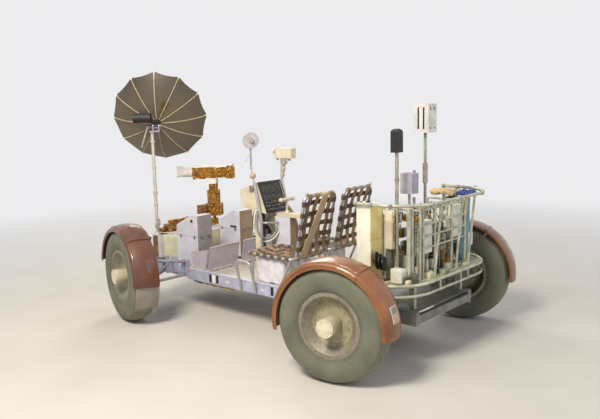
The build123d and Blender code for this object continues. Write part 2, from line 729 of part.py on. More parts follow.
# Television camera on the right mast: pan unit, then the tilting camera
tv_pan_z = 876.0
tv_pivot_z = 1111.0
tv_heading = 41.0
tv_body_base = 1141.0
save("camera_mast", join([rod((mast_x, -mast_y, relay_top), (mast_x, -mast_y, tv_pan_z), 16),
                          rod((mast_x, -mast_y, relay_top), (mast_x, -mast_y, relay_top + 60), 40),
                          block(mast_x - 68, mast_x + 68, -mast_y - 68, -mast_y + 68, 752, 870, 6)]))
pan = [rod((0, 0, tv_pan_z + seat_gap), (0, 0, 1008), 68), block(-58, 58, -67, 67, 985, 1011)]
for way in (1, -1):
    pan.append(block(-38, 38, way * 62 - 5, way * 62 + 5, 1000, 1128))
tilt_bore = rod((0, -90, tv_pivot_z), (0, 90, tv_pivot_z), 10 + running_gap)
pan_turn = Pos(mast_x, -mast_y, 0) * Rot(0, 0, tv_heading)
save("camera_pan_unit", pan_turn * (join(pan) - tilt_bore))
tv_axis_z = tv_body_base + 54.0
tv = [block(-213, 205, -51, 51, tv_body_base, tv_body_base + 108, 5),
      rod((0, -66, tv_pivot_z), (0, 66, tv_pivot_z), 10)]
tv.append(block(-28, 28, -51, 51, tv_pivot_z - 15, tv_body_base + 4))
tv.append(rod((200, 0, tv_axis_z), (318, 0, tv_axis_z), 46))
save("tv_camera", pan_turn * join(tv))

# Rear rack: deck, lower and upper rails, a rounded D in plan
rack_tube = 12.0
deck_half = rack_deck_half_width
deck_rear = rack_deck_rear_x


def d_plan(half, rear, grow=0.0):
    """Corner points of the rack's plan, left front round the rear to right front."""
    w = half + grow
    r = rear - grow
    return [(rack_front_x, w), (r, w), (r, -w), (rack_front_x, -w)]


def d_rail(half, rear, z, radius):
    return pipe([(x, y, z) for x, y in d_plan(half, rear)], radius, rack_corner)


with BuildSketch(Plane.XY) as rs:
    with BuildLine():
        FilletPolyline(*d_plan(deck_half, deck_rear, -4), radius=rack_corner - 4)
        Line((rack_front_x, 4 - deck_half), (rack_front_x, deck_half - 4))
    make_face()
rack_deck = Pos(0, 0, rack_deck_z - 14) * extrude(rs.sketch, amount=8)
deck_rail = d_rail(deck_half, deck_rear, rack_deck_z, rack_tube)
skirt_rail = d_rail(deck_half, deck_rear, rack_deck_z - 75, 10)
skirt = [rack_deck, deck_rail, skirt_rail]
skirt_posts = [(-1150, deck_half), (-1250, deck_half), (-1250, -deck_half),
               (-1150, -deck_half), (deck_rear, 200), (deck_rear, -200)]
for px, py in skirt_posts:
    skirt.append(rod((px, py, rack_deck_z), (px, py, rack_deck_z - 75), 8))
rack_floor = rack_deck_z - 6 + seat_gap

upper = [d_rail(rack_half_width, rack_rear_x, rack_rail_z, rack_tube)]
# columns: x, y at the deck, then x, y at the rail
rack_posts = [
    (-1530, 240, -1585, 240),
    (-1530, -60, -1585, -60),
    (-1530, -240, -1585, -240),
    (-1300, -590, -1230, -600),
    (-1120, -590, -1112, -600),
]
for px, py, qx, qy in rack_posts:
    upper.append(rod((px, py, rack_floor + 0.9), (qx, qy, rack_rail_z), 9))
save("rack_rail", join(upper))

legs = []
for sx in (-1160.0, -1410.0):
    for side in (1, -1):
        legs.append(block(sx - 20, sx + 20, side * 330 - 15, side * 330 + 15,
                          deck_top, rack_deck_z - 14 - seat_gap))
save("rack_deck", join(skirt), *legs)

# Things carried in the rack
locker = block(-1225, -1104, 440, 584, rack_floor, 1170, 6)
knobs = [Pos(kx, 512, 1180) * Sphere(13) for kx in (-1125, -1205)]
save("locker", join([locker] + knobs))
save("rear_bag", block(-1400, -1190, -575, -400, rack_floor, 1120, 14))
save("black_canister", rod((-1399, 40, rack_floor), (-1399, 40, rack_floor + 270), 46))
hood = fillet(block(-1330, -1270, 328, 404, 1530, 1695, 6).edges().filter_by(Axis.Y).sort_by(Axis.Z)[-2:], 26)
save("hooded_pole", join([rod((-1300, 366, rack_floor), (-1300, 366, 1535), 13),
                          rod((-1300, 366, 1330), (-1300, 366, 1346), 18), hood]))
box_head = block(-1390, -1270, -20, 100, 1655, 1860, 6)
save("box_pole", join([rod((-1330, 40, rack_floor), (-1330, 40, 1660), 11),
                       rod((-1330, 40, 1285), (-1330, 40, 1430), 19), box_head]))
save("grey_box", join([rod((-1300, 205, rack_floor), (-1300, 205, 1235), 10),
                       block(-1350, -1250, 158, 252, 1225, 1370, 6),
                       rod((-1300, 138, 1240), (-1300, 138, 1385), 9),
                       rod((-1300, 138, 1250), (-1300, 160, 1250), 6)]))

# Tube frame that holds the tools, with a white case on it
frame_x = -1455.0
bar_radius = 7.0
# columns: y of each upright
upright_y = [310.0, 270.0, 110.0, -130.0, -330.0]
# columns: z of each cross bar
bar_z = [845.0, 930.0, 1015.0, 1120.0]
grid = [rod((frame_x, y, rack_floor), (frame_x, y, 1150), 10) for y in upright_y]
grid += [rod((frame_x, upright_y[0], z), (frame_x, upright_y[-1], z), bar_radius) for z in bar_z]
for y in (upright_y[0], upright_y[-1]):
    grid.append(rod((frame_x, y, 1120), (-1130, y, 1120), 8))
    grid.append(rod((-1130, y, rack_floor), (-1130, y, 1120), 8))
save("tool_frame", join(grid))
case_x = frame_x + bar_radius + seat_gap
save("tool_cases", block(case_x, -1375, 130, 256, 800, 1035, 6),
     block(case_x, -1360, -300, -150, 860, 1100, 6))
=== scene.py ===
import bmesh
import bpy
import math
import random
from mathutils import Matrix, Vector, noise
from mathutils.bvhtree import BVHTree


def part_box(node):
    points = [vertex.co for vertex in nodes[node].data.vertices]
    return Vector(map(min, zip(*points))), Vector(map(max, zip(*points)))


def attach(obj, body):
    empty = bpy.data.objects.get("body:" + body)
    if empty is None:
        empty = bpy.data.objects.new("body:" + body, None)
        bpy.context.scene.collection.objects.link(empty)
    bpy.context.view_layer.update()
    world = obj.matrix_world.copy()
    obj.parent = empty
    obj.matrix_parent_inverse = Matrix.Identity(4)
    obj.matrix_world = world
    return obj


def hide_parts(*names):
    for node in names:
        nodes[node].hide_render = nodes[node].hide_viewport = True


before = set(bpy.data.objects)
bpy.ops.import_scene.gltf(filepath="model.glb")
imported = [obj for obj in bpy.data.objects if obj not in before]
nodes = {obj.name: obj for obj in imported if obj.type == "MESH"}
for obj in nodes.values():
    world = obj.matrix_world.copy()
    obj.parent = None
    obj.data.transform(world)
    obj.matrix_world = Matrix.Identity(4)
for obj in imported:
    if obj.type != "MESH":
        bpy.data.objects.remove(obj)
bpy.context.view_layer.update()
scene = bpy.context.scene
print("frame loaded:", len(nodes), "pieces")


# small helpers: places in millimetres, colours as they look on screen

def mm(x, y, z):
    return Vector((x, y, z)) / 1000


def paint(red, green, blue):
    def linear(value):
        value = value / 255
        return value / 12.92 if value <= 0.04045 else ((value + 0.055) / 1.055) ** 2.4
    return (linear(red), linear(green), linear(blue), 1.0)


# node graph helpers

def startFinish(name, roughness=0.5, metallic=0.0, coat=0.0, sheen=0.0):
    finish = bpy.data.materials.new(name)
    finish.use_nodes = True
    shader = finish.node_tree.nodes["Principled BSDF"]
    shader.inputs["Roughness"].default_value = roughness
    shader.inputs["Metallic"].default_value = metallic
    shader.inputs["Coat Weight"].default_value = coat
    shader.inputs["Coat Roughness"].default_value = 0.1
    shader.inputs["Sheen Weight"].default_value = sheen
    return finish, finish.node_tree, shader


def addNode(tree, kind, inputs=None, **settings):
    node = tree.nodes.new(kind)
    for key, value in settings.items():
        setattr(node, key, value)
    for key, value in (inputs or {}).items():
        if isinstance(value, bpy.types.NodeSocket):
            tree.links.new(value, node.inputs[key])
        else:
            node.inputs[key].default_value = value
    return node


def placeOf(tree, stretch=(1, 1, 1), turn=(0, 0, 0)):
    coord = addNode(tree, "ShaderNodeTexCoord")
    return addNode(tree, "ShaderNodeMapping", {"Vector": coord.outputs["Object"], "Scale": stretch,
                                               "Rotation": turn}).outputs["Vector"]


def noiseOf(tree, scale, detail=4.0, stretch=(1, 1, 1), low=0.0, high=1.0):
    grain = addNode(tree, "ShaderNodeTexNoise", {"Vector": placeOf(tree, stretch), "Scale": scale,
                                                 "Detail": detail, "Roughness": 0.55})
    return rangeOf(tree, grain.outputs["Fac"], low, high)


def rangeOf(tree, value, low, high, toLow=0.0, toHigh=1.0):
    return addNode(tree, "ShaderNodeMapRange", {"Value": value, "From Min": low, "From Max": high,
                                                "To Min": toLow, "To Max": toHigh}).outputs["Result"]


def mathOf(tree, operation, first, second=0.0):
    return addNode(tree, "ShaderNodeMath", {0: first, 1: second}, operation=operation).outputs[0]


def mixOf(tree, factor, first, second):
    node = addNode(tree, "ShaderNodeMix", data_type="RGBA")
    for index, value in ((0, factor), (6, first), (7, second)):
        if isinstance(value, bpy.types.NodeSocket):
            tree.links.new(value, node.inputs[index])
        else:
            node.inputs[index].default_value = value
    return node.outputs[2]


def bumpOf(tree, height, strength, distance, under=None):
    inputs = {"Height": height, "Strength": strength, "Distance": distance}
    if under is not None:
        inputs["Normal"] = under
    return addNode(tree, "ShaderNodeBump", inputs).outputs["Normal"]


def upness(tree):
    # how far the surface faces the sky, for settled dust and for the painted highlight on the fenders' crown
    normal = addNode(tree, "ShaderNodeNewGeometry").outputs["Normal"]
    return addNode(tree, "ShaderNodeSeparateXYZ", {"Vector": normal}).outputs["Z"]


def endFinish(tree, shader, color, normal, roughness=None):
    tree.links.new(color, shader.inputs["Base Color"])
    tree.links.new(normal, shader.inputs["Normal"])
    if roughness is not None:
        tree.links.new(roughness, shader.inputs["Roughness"])


# finishes, each one a maker's own

dustTones = {"settled": (150, 140, 122), "onMetal": (160, 150, 132), "specks": (112, 102, 88)}


def wornPaint(name, base, worn, roughness=0.5, metallic=0.0, dust=0.35, grain=14.0, coat=0.0):
    finish, tree, shader = startFinish(name, roughness, metallic, coat)
    patches = noiseOf(tree, grain, 5, low=0.38, high=0.66)
    color = mixOf(tree, patches, base, worn)
    specks = noiseOf(tree, grain * 22, 2, low=0.66, high=0.74)
    color = mixOf(tree, mathOf(tree, "MULTIPLY", specks, 0.35), color, paint(*dustTones["specks"]))
    settled = rangeOf(tree, upness(tree), 0.25, 1.0)
    drift = noiseOf(tree, grain * 1.7, 6, low=0.35, high=0.7)
    amount = mathOf(tree, "MULTIPLY", mathOf(tree, "MULTIPLY", settled, drift), dust)
    color = mixOf(tree, amount, color, paint(*dustTones["settled"]))
    endFinish(tree, shader, color, bumpOf(tree, noiseOf(tree, grain * 30, 3), 0.12, 0.0006),
              rangeOf(tree, patches, 0, 1, roughness - 0.08, roughness + 0.14))
    return finish


def brushedMetal(name, base, worn, stretch=(1, 1, 12), roughness=0.38, metallic=0.85, dust=0.25):
    finish, tree, shader = startFinish(name, roughness, metallic)
    strokes = noiseOf(tree, 60, 3, stretch, 0.3, 0.75)
    stains = noiseOf(tree, 9, 5, low=0.42, high=0.7)
    color = mixOf(tree, stains, mixOf(tree, strokes, base, worn), worn)
    settled = mathOf(tree, "MULTIPLY", rangeOf(tree, upness(tree), 0.3, 1.0), dust)
    color = mixOf(tree, settled, color, paint(*dustTones["onMetal"]))
    endFinish(tree, shader, color, bumpOf(tree, strokes, 0.1, 0.0004),
              rangeOf(tree, strokes, 0, 1, roughness - 0.08, roughness + 0.12))
    return finish


def crinkledFoil(name, base, deep, paleHighlight, roughness=0.24):
    finish, tree, shader = startFinish(name, roughness, 0.9)
    warp = addNode(tree, "ShaderNodeTexNoise", {"Vector": placeOf(tree), "Scale": 14.0, "Detail": 4.0})
    ridges = addNode(tree, "ShaderNodeTexVoronoi", {"Vector": warp.outputs["Color"], "Scale": 9.0},
                     feature="DISTANCE_TO_EDGE")
    creaseBumpAndHighlight = rangeOf(tree, ridges.outputs["Distance"], 0.0, 0.3)
    tone = noiseOf(tree, 16, 5, low=0.35, high=0.68)
    color = mixOf(tree, tone, deep, base)
    # painted highlight: the facets between the creases turn pale, the crease lines stay darker
    color = mixOf(tree, mathOf(tree, "MULTIPLY", creaseBumpAndHighlight, 0.45), color, paleHighlight)
    under = bumpOf(tree, noiseOf(tree, 70, 4), 0.35, 0.002)
    endFinish(tree, shader, color, bumpOf(tree, creaseBumpAndHighlight, 0.8, 0.006, under))
    return finish


def fibreglass(name, base, deep, streakAndHighlight):
    # resin over mat: clouded colour, paler fibre streaks, and a crown painted paler as a highlight where the
    # faces turn up
    finish, tree, shader = startFinish(name, 0.3, 0.0, 0.55)
    clouds = noiseOf(tree, 5.5, 5, low=0.35, high=0.68)
    fibres = noiseOf(tree, 90, 3, (1, 1, 4), 0.4, 0.7)
    color = mixOf(tree, clouds, deep, base)
    color = mixOf(tree, mathOf(tree, "MULTIPLY", fibres, 0.22), color, streakAndHighlight)
    # painted highlight: faces that turn up are mixed towards the paler resin, broken up by noise
    crown = rangeOf(tree, upness(tree), 0.5, 1.0)
    crownHighlight = mathOf(tree, "MULTIPLY", crown, noiseOf(tree, 8, 6, low=0.4, high=0.8))
    color = mixOf(tree, mathOf(tree, "MULTIPLY", crownHighlight, 0.5), color, streakAndHighlight)
    endFinish(tree, shader, color, bumpOf(tree, noiseOf(tree, 30, 3), 0.12, 0.002),
              rangeOf(tree, clouds, 0, 1, 0.48, 0.32))
    return finish


rubber = {"crownFrom": 0.36, "crownTo": 0.425, "beadFrom": 0.285, "beadTo": 0.25}


def dustyRubber(name, centre):
    # smooth carcass, a faint woven grain, dust towards the crown, painted shade towards the bead
    finish, tree, shader = startFinish(name, 0.78)
    weave = addNode(tree, "ShaderNodeTexWave", {"Vector": placeOf(tree, turn=(0.0, 0.8, 0.6)), "Scale": 95.0,
                                                "Distortion": 1.5, "Detail": 2.0})
    clouds = noiseOf(tree, 6, 6, low=0.32, high=0.7)
    color = mixOf(tree, clouds, paint(96, 100, 84), paint(120, 120, 102))
    coord = addNode(tree, "ShaderNodeTexCoord").outputs["Object"]
    away = addNode(tree, "ShaderNodeVectorMath", {0: coord, 1: tuple(centre)},
                   operation="DISTANCE").outputs["Value"]
    crown = rangeOf(tree, away, rubber["crownFrom"], rubber["crownTo"])
    dusty = mathOf(tree, "MULTIPLY", crown, noiseOf(tree, 11, 5, low=0.3, high=0.65))
    color = mixOf(tree, dusty, color, paint(140, 136, 120))
    shadeRing = rangeOf(tree, away, rubber["beadFrom"], rubber["beadTo"])
    color = mixOf(tree, mathOf(tree, "MULTIPLY", shadeRing, 0.45), color, paint(78, 80, 70))
    under = bumpOf(tree, noiseOf(tree, 40, 4), 0.15, 0.002)
    endFinish(tree, shader, color, bumpOf(tree, weave.outputs["Fac"], 0.1, 0.0008, under))
    return finish


def threadLines(tree, place, threads):
    wave = addNode(tree, "ShaderNodeTexWave", {"Vector": place, "Scale": threads, "Distortion": 0.6},
                   bands_direction="DIAGONAL")
    return wave.outputs["Fac"]


def wovenCloth(name, base, second, threads=420.0, sheen=0.2, roughness=0.85, folds=0.3):
    finish, tree, shader = startFinish(name, roughness, 0.0, 0.0, sheen)
    warpLines = threadLines(tree, placeOf(tree), threads)
    weftLines = threadLines(tree, placeOf(tree, (1, -1, 1)), threads)
    weave = mathOf(tree, "MULTIPLY", warpLines, weftLines)
    clouds = noiseOf(tree, 12, 6, low=0.35, high=0.68)
    color = mixOf(tree, clouds, base, second)
    color = mixOf(tree, mathOf(tree, "MULTIPLY", weave, 0.25), color, second)
    under = bumpOf(tree, noiseOf(tree, 22, 5), folds, 0.006)
    endFinish(tree, shader, color, bumpOf(tree, weave, 0.4, 0.0006, under))
    return finish


meshNet = {"clear": 0.24, "fadeFrom": 1.5, "fadeTo": 2.15, "knots": 520.0}


def goldMesh(name, base, deep):
    # fine plated net: warm brown, partly clear, its threads finer than the eye resolves; painted shade makes
    # it darker towards the top
    finish, tree, shader = startFinish(name, 0.5, 0.35)
    clouds = noiseOf(tree, 3.2, 4, low=0.3, high=0.7)
    height = addNode(tree, "ShaderNodeSeparateXYZ", {"Vector": placeOf(tree)}).outputs["Z"]
    # painted shade: darker towards the top of the dish, lighter below
    shadeTowardsTop = rangeOf(tree, height, meshNet["fadeFrom"], meshNet["fadeTo"], 0.75, -0.1)
    color = mixOf(tree, mathOf(tree, "ADD", shadeTowardsTop, mathOf(tree, "MULTIPLY", clouds, 0.35)), deep, base)
    knit = addNode(tree, "ShaderNodeTexVoronoi", {"Vector": placeOf(tree), "Scale": meshNet["knots"]},
                   feature="DISTANCE_TO_EDGE").outputs["Distance"]
    color = mixOf(tree, mathOf(tree, "MULTIPLY", rangeOf(tree, knit, 0.0, 0.3), 0.4), color, deep)
    endFinish(tree, shader, color, bumpOf(tree, knit, 0.4, 0.0006))
    clear = addNode(tree, "ShaderNodeBsdfTransparent")
    blend = addNode(tree, "ShaderNodeMixShader", {"Fac": meshNet["clear"]})
    tree.links.new(shader.outputs["BSDF"], blend.inputs[1])
    tree.links.new(clear.outputs["BSDF"], blend.inputs[2])
    tree.links.new(blend.outputs["Shader"], tree.nodes["Material Output"].inputs["Surface"])
    return finish


finishes = {
    "rail": wornPaint("railPaint", paint(196, 200, 222), paint(170, 174, 200), 0.42, 0.2, 0.3, 11),
    # painted shade: a darker grey-olive copy of the rail paint, for the aft frame and the floor under the
    # rack
    "railAft": wornPaint("aftRailShade", paint(132, 134, 128), paint(104, 104, 94), 0.5, 0.25, 0.3, 11),
    # painted highlight: a paler copy of the rail paint for the rails' upward faces
    "railTopHighlight": wornPaint("railTopPaint", paint(226, 224, 230), paint(204, 202, 212), 0.4, 0.2, 0.3, 16),
    # painted shade: near black, for the inside of slots
    "slotShade": wornPaint("slotShadow", paint(22, 22, 26), paint(34, 33, 36), 0.7, 0.0, 0.1),
    "floor": brushedMetal("floorSheet", paint(226, 220, 212), paint(204, 198, 194), (12, 1, 1), 0.5,
                          0.25, 0.3),
    "arm": brushedMetal("armTube", paint(186, 188, 198), paint(138, 138, 146), (1, 10, 1), 0.36, 0.7),
    "drive": wornPaint("driveCasing", paint(158, 156, 152), paint(120, 118, 112), 0.45, 0.5, 0.35, 18),
    "disc": brushedMetal("wheelDisc", paint(180, 172, 140), paint(146, 138, 110), (1, 1, 1), 0.5,
                         0.1, 0.15),
    "rim": brushedMetal("wheelRim", paint(156, 150, 130), paint(120, 114, 98), (1, 1, 1), 0.5,
                        0.2, 0.15),
    "hubCap": wornPaint("hubCapPaint", paint(226, 218, 192), paint(204, 194, 166), 0.5, 0.0, 0.2, 20),
    "boxWhite": wornPaint("boxCover", paint(222, 220, 232), paint(204, 201, 214), 0.62, 0.0, 0.28, 8),
    # painted shade: darker tan and taupe copies of the cover, for rear faces
    "boxRearShadeTan": wornPaint("boxRear", paint(172, 150, 120), paint(150, 128, 100), 0.66, 0.0, 0.2, 10),
    "boxRearShadeTaupe": wornPaint("boxRearTaupe", paint(168, 160, 160), paint(150, 142, 142), 0.66, 0.0, 0.2, 10),
    "coverCream": wornPaint("batteryCover", paint(226, 222, 192), paint(204, 200, 168), 0.6, 0.0, 0.3, 7),
    "cream": wornPaint("creamPaint", paint(226, 216, 188), paint(208, 196, 168), 0.48, 0.0, 0.25, 12),
    # painted shade: near black for the console's rear-facing dial face
    "panelShade": wornPaint("panelFace", paint(36, 36, 38), paint(50, 49, 50), 0.5, 0.1, 0.1, 26),
    "lilac": wornPaint("footrestPaint", paint(206, 200, 206), paint(184, 178, 184), 0.45, 0.2, 0.3, 7),
    "tube": brushedMetal("seatTube", paint(206, 206, 208), paint(168, 166, 168), (1, 1, 8), 0.34, 0.7),
    "mast": wornPaint("mastPaint", paint(206, 200, 190), paint(182, 174, 164), 0.42, 0.2, 0.15, 16),
    "grip": wornPaint("gripRubber", paint(206, 176, 146), paint(180, 148, 118), 0.55, 0.0, 0.15, 40),
    "gold": crinkledFoil("goldFoil", paint(192, 126, 40), paint(86, 42, 10), paint(248, 206, 112)),
    "copper": crinkledFoil("copperFoil", paint(176, 120, 72), paint(78, 40, 24), paint(226, 186, 140), 0.3),
    "tanFoil": crinkledFoil("tanBlanket", paint(206, 172, 120), paint(150, 116, 74),
                            paint(236, 214, 172), 0.42),
    "whiteBlanket": wovenCloth("whiteBlanket", paint(240, 238, 232), paint(218, 214, 206), 300, 0.15, 0.7),
    "net": goldMesh("dishNet", paint(122, 102, 62), paint(62, 52, 34)),
    "rib": wornPaint("ribPaint", paint(208, 188, 150), paint(186, 164, 126), 0.42, 0.1, 0.1, 30),
    "black": wornPaint("blackPaint", paint(26, 26, 28), paint(40, 39, 40), 0.5, 0.1, 0.15, 18),
    "rack": wornPaint("rackPaint", paint(196, 198, 176), paint(158, 158, 136), 0.4, 0.3, 0.25, 14),
    # painted shade: a darker copy of the rack paint, for the load's shaded bits
    "rackDark": wornPaint("rackShade", paint(116, 116, 98), paint(82, 82, 70), 0.5, 0.3, 0.25, 18),
    "locker": wornPaint("lockerPaint", paint(246, 242, 224), paint(232, 226, 204), 0.5, 0.0, 0.15, 9),
    # painted light: a yellow copy of the locker paint, warm lamp light on the rear faces
    "lockerRearLampLight": wornPaint("lockerRearLampLight", paint(244, 226, 164), paint(228, 200, 126), 0.5, 0.0, 0.15, 9),
    "caseWhite": wornPaint("caseWhite", paint(228, 226, 214), paint(204, 202, 186), 0.5, 0.0, 0.25, 14),
    "greyBox": wornPaint("greyBoxPaint", paint(176, 172, 184), paint(156, 152, 160), 0.5, 0.05, 0.2, 14),
    "webbing": wovenCloth("webbingStrap", paint(112, 86, 56), paint(84, 62, 38), 520, 0.25),
    "webbingPale": wovenCloth("webbingPale", paint(176, 142, 98), paint(148, 116, 76), 520, 0.25),
    "bagWhite": wovenCloth("seatBagCloth", paint(232, 230, 234), paint(204, 202, 210), 380, 0.2, 0.8, 0.5),
    "bagTeal": wovenCloth("tealCloth", paint(122, 162, 172), paint(88, 128, 140), 380, 0.3, 0.8, 0.35),
    "poleHead": wornPaint("poleHeadPaint", paint(212, 208, 204), paint(190, 186, 180), 0.5, 0.0, 0.15, 14),
    "poleStaff": wornPaint("poleStaffPaint", paint(182, 176, 158), paint(142, 136, 120), 0.42, 0.35, 0.2, 16),
    "blueCloth": wovenCloth("blueCloth", paint(52, 78, 156), paint(34, 52, 118), 380, 0.3),
    "creamCloth": wovenCloth("creamCloth", paint(222, 196, 154), paint(202, 172, 128), 380, 0.25),
    "bolt": brushedMetal("boltSteel", paint(190, 188, 182), paint(150, 146, 140), (1, 1, 1), 0.35, 0.85),
    "cableGrey": wornPaint("cableGrey", paint(156, 152, 158), paint(130, 126, 132), 0.6, 0.0, 0.2, 60),
    "cableWhite": wornPaint("cableWhite", paint(230, 228, 216), paint(206, 202, 188), 0.55, 0.0, 0.15, 60),
    "labelWhite": wornPaint("blankPlate", paint(242, 242, 240), paint(228, 228, 226), 0.45, 0.0, 0.1, 40),
    "orangeTag": wornPaint("orangeTag", paint(238, 142, 116), paint(220, 120, 96), 0.5, 0.0, 0.1, 40),
    "red": wornPaint("patchRed", paint(188, 112, 88), paint(172, 96, 74), 0.5, 0.0, 0.1, 40),
    "patchBlue": wornPaint("patchBlue", paint(150, 150, 146), paint(128, 130, 130), 0.5, 0.0, 0.1, 40),
    "patchCream": wornPaint("patchCream", paint(228, 214, 186), paint(212, 198, 170), 0.5, 0.0, 0.1, 40),
    "lens": wornPaint("lensGlass", paint(14, 16, 22), paint(20, 22, 30), 0.14, 0.0, 0.0, 30, 0.9),
    "flap": wornPaint("flapCloth", paint(158, 150, 140), paint(138, 130, 120), 0.75, 0.0, 0.2, 10),
}
print("finishes made:", len(finishes))


# dressing the CAD pieces

def dress(name, *keys, choose=None):
    # one finish for a piece, or several picked face by face
    piece = nodes[name]
    piece.data.materials.clear()
    for key in keys:
        piece.data.materials.append(finishes[key] if isinstance(key, str) else key)
    if choose:
        for face in piece.data.polygons:
            face.material_index = choose(face.center, face.normal)


# columns: corner, fore, side, steering angle at rest in degrees
corners = [("front_left", 1, 1, -16.0), ("front_right", 1, -1, -24.0), ("rear_left", -1, 1, 11.0),
           ("rear_right", -1, -1, 16.0)]
running = {"kingpinX": 1.143, "kingpinY": 0.830, "axleHeight": 0.409, "wheelOut": 0.0845,
           "capOut": 0.06, "capRadius": 0.075, "rimFrom": 0.156, "flapFrom": 184.0, "flapTo": 260.0}

# columns: corner, resin, deeper resin, paler resin for the fibre streaks and the painted highlight on the
# crown
fenderResins = [("front_left", (112, 62, 34), (76, 36, 16), (146, 100, 84)),
                ("front_right", (116, 66, 36), (80, 40, 18), (146, 100, 82)),
                ("rear_left", (146, 90, 34), (112, 60, 16), (158, 110, 74)),
                ("rear_right", (142, 88, 40), (106, 58, 22), (160, 114, 84))]
fenderTones = {}
for corner, *tones in fenderResins:
    label = corner.title().replace("_", "")
    fenderTones[corner] = fibreglass(f"fenderResin{label}", *(paint(*tone) for tone in tones))


def wheelFrame(fore, side, angle):
    # centre of the wheel and its outboard direction at rest
    turn = math.radians(angle)
    out = Vector((-math.sin(turn) * side, math.cos(turn) * side, 0))
    centre = Vector((fore * running["kingpinX"], side * running["kingpinY"], running["axleHeight"]))
    return centre + out * running["wheelOut"], out


for corner, fore, side, angle in corners:
    centre, out = wheelFrame(fore, side, angle)
    ahead = Vector((math.cos(math.radians(angle)), math.sin(math.radians(angle)), 0))

    def flapOrShell(point, normal, centre=centre, ahead=ahead, fore=fore):
        way = point - centre
        sweep = math.degrees(math.atan2(way.z, way.dot(ahead))) % 360
        return 1 if fore > 0 and running["flapFrom"] < sweep < running["flapTo"] else 0

    def capOrDisc(point, normal, centre=centre, out=out):
        way = point - centre
        across = (way - out * way.dot(out)).length
        if way.dot(out) > running["capOut"] and across < running["capRadius"]:
            return 1
        return 2 if across > running["rimFrom"] else 0

    dress(f"fender_{corner}", fenderTones[corner], "flap", choose=flapOrShell)
    dress(f"wheel_disc_{corner}", "disc", "hubCap", "rim", choose=capOrDisc)
    dress(f"hub_drive_{corner}", "drive")
    dress(f"tyre_{corner}", dustyRubber(f"tyreRubber_{corner}", centre))

# pieces with one finish all over
plainPieces = {"front_suspension": "arm", "rear_suspension": "arm", "battery_cover": "coverCream",
               "hand_controller": "hubCap", "toeholds": "tube", "seat_pans": "tube",
               "left_seat_back": "tube", "right_seat_back": "tube", "dish_swivel": "arm",
               "dish_mast": "mast", "camera_mast": "gold", "camera_pan_unit": "gold",
               "side_panels": "lilac", "left_footrest": "lilac", "right_footrest": "lilac",
               "rack_deck": "rack", "rack_rail": "rack", "tool_frame": "rack",
               "tool_cases": "caseWhite", "black_canister": "black", "grey_box": "greyBox"}
for name, tone in plainPieces.items():
    dress(name, tone)

# where a piece changes finish, in metres
split = {"aftX": -0.66, "floorShadeFromX": -0.64, "railTopZ": 0.40, "relayTopZ": 0.650, "relayLeftY": 0.30,
         "relayFrontX": 1.489, "pedestalTopZ": 0.90, "lowGainHub": 0.036, "hoodZ": 1.525,
         "poleHeadZ": 1.654, "filmBodyZ": 1.394, "hoodStartX": 0.206}
lowGain = {"centre": mm(334.9, 178, 1572), "heading": 150.0, "rings": (0.030, 0.052, 0.067)}
# painted shade: the aft frame takes the darker grey-olive copy all over
for name, tone in (("centre_frame", "rail"), ("forward_frame", "rail"), ("aft_frame", "railAft")):
    # painted highlight on the rails' upward faces, forward of the aft frame
    dress(name, tone, "railTopHighlight", choose=lambda point, normal: 1 if normal.z > 0.9
          and point.z > split["railTopZ"] and point.x > split["aftX"] else 0)
# painted shade on the floor's aft part
dress("floor_panels", "floor", "railAft",
      choose=lambda point, normal: 1 if point.x < split["floorShadeFromX"] else 0)
# painted shade: faces turned to the rear take the taupe copy on the left box and the tan copy on the right
dress("equipment_boxes", "boxWhite", "boxRearShadeTaupe", "boxRearShadeTan",
      choose=lambda point, normal: 0 if normal.x > -0.7 else (1 if point.y > 0 else 2))
dress("relay_unit", "boxWhite", "copper",
      choose=lambda point, normal: 1 if (point.z > split["relayTopZ"] or point.y > split["relayLeftY"])
      and point.x < split["relayFrontX"] else 0)
# painted shade: the pedestal's rear faces take the tan copy
dress("armrest_pedestal", "cream", "boxWhite", "boxRearShadeTan",
      choose=lambda point, normal: 0 if point.z > split["pedestalTopZ"] else (2 if normal.x < -0.7 else 1))
dress("low_gain_head", "poleHead", "drive",
      choose=lambda point, normal: 1 if (point - lowGain["centre"]).length < split["lowGainHub"] else 0)
dress("hooded_pole", "poleStaff", "black", choose=lambda point, normal: 1 if point.z > split["hoodZ"] else 0)
# painted light: the locker's rear faces take the yellow copy
dress("locker", "locker", "lockerRearLampLight", choose=lambda point, normal: 1 if normal.x < -0.7 else 0)
# painted light: the head's rear faces take a paler, warmer white
dress("box_pole", "poleStaff", "poleHead", "caseWhite",
      choose=lambda point, normal: 0 if point.z < split["poleHeadZ"] else (2 if normal.x < -0.7 else 1))
print("pieces dressed")


# the console's dial face, the grip, the dish and the cameras need their own split of faces

dial = {"foot": mm(190, 0, 935), "top": mm(300, 0, 1205), "depth": 0.006}
dialUp = (dial["top"] - dial["foot"]).normalized()
dialOut = Vector((-dialUp.z, 0, dialUp.x))
staffGrip = {"x": 0.317, "y": 0.178, "z": 1.265, "reach": 0.03, "halfLong": 0.0285}


def dialFace(point, normal):
    return 1 if normal.dot(dialOut) > 0.9 else 0


def gripOrTube(point, normal):
    across = max(abs(point.x - staffGrip["x"]), abs(point.y - staffGrip["y"]))
    along = abs(point.z - staffGrip["z"])
    return 1 if across < staffGrip["reach"] and along < staffGrip["halfLong"] else 0


# painted shade: the dial face is painted near black
dress("display_console", "cream", "panelShade", choose=dialFace)
dress("handholds", "tube", "grip", choose=gripOrTube)
dress("film_camera", "mast", "cream", choose=lambda point, normal: 1 if point.z > split["filmBodyZ"] else 0)

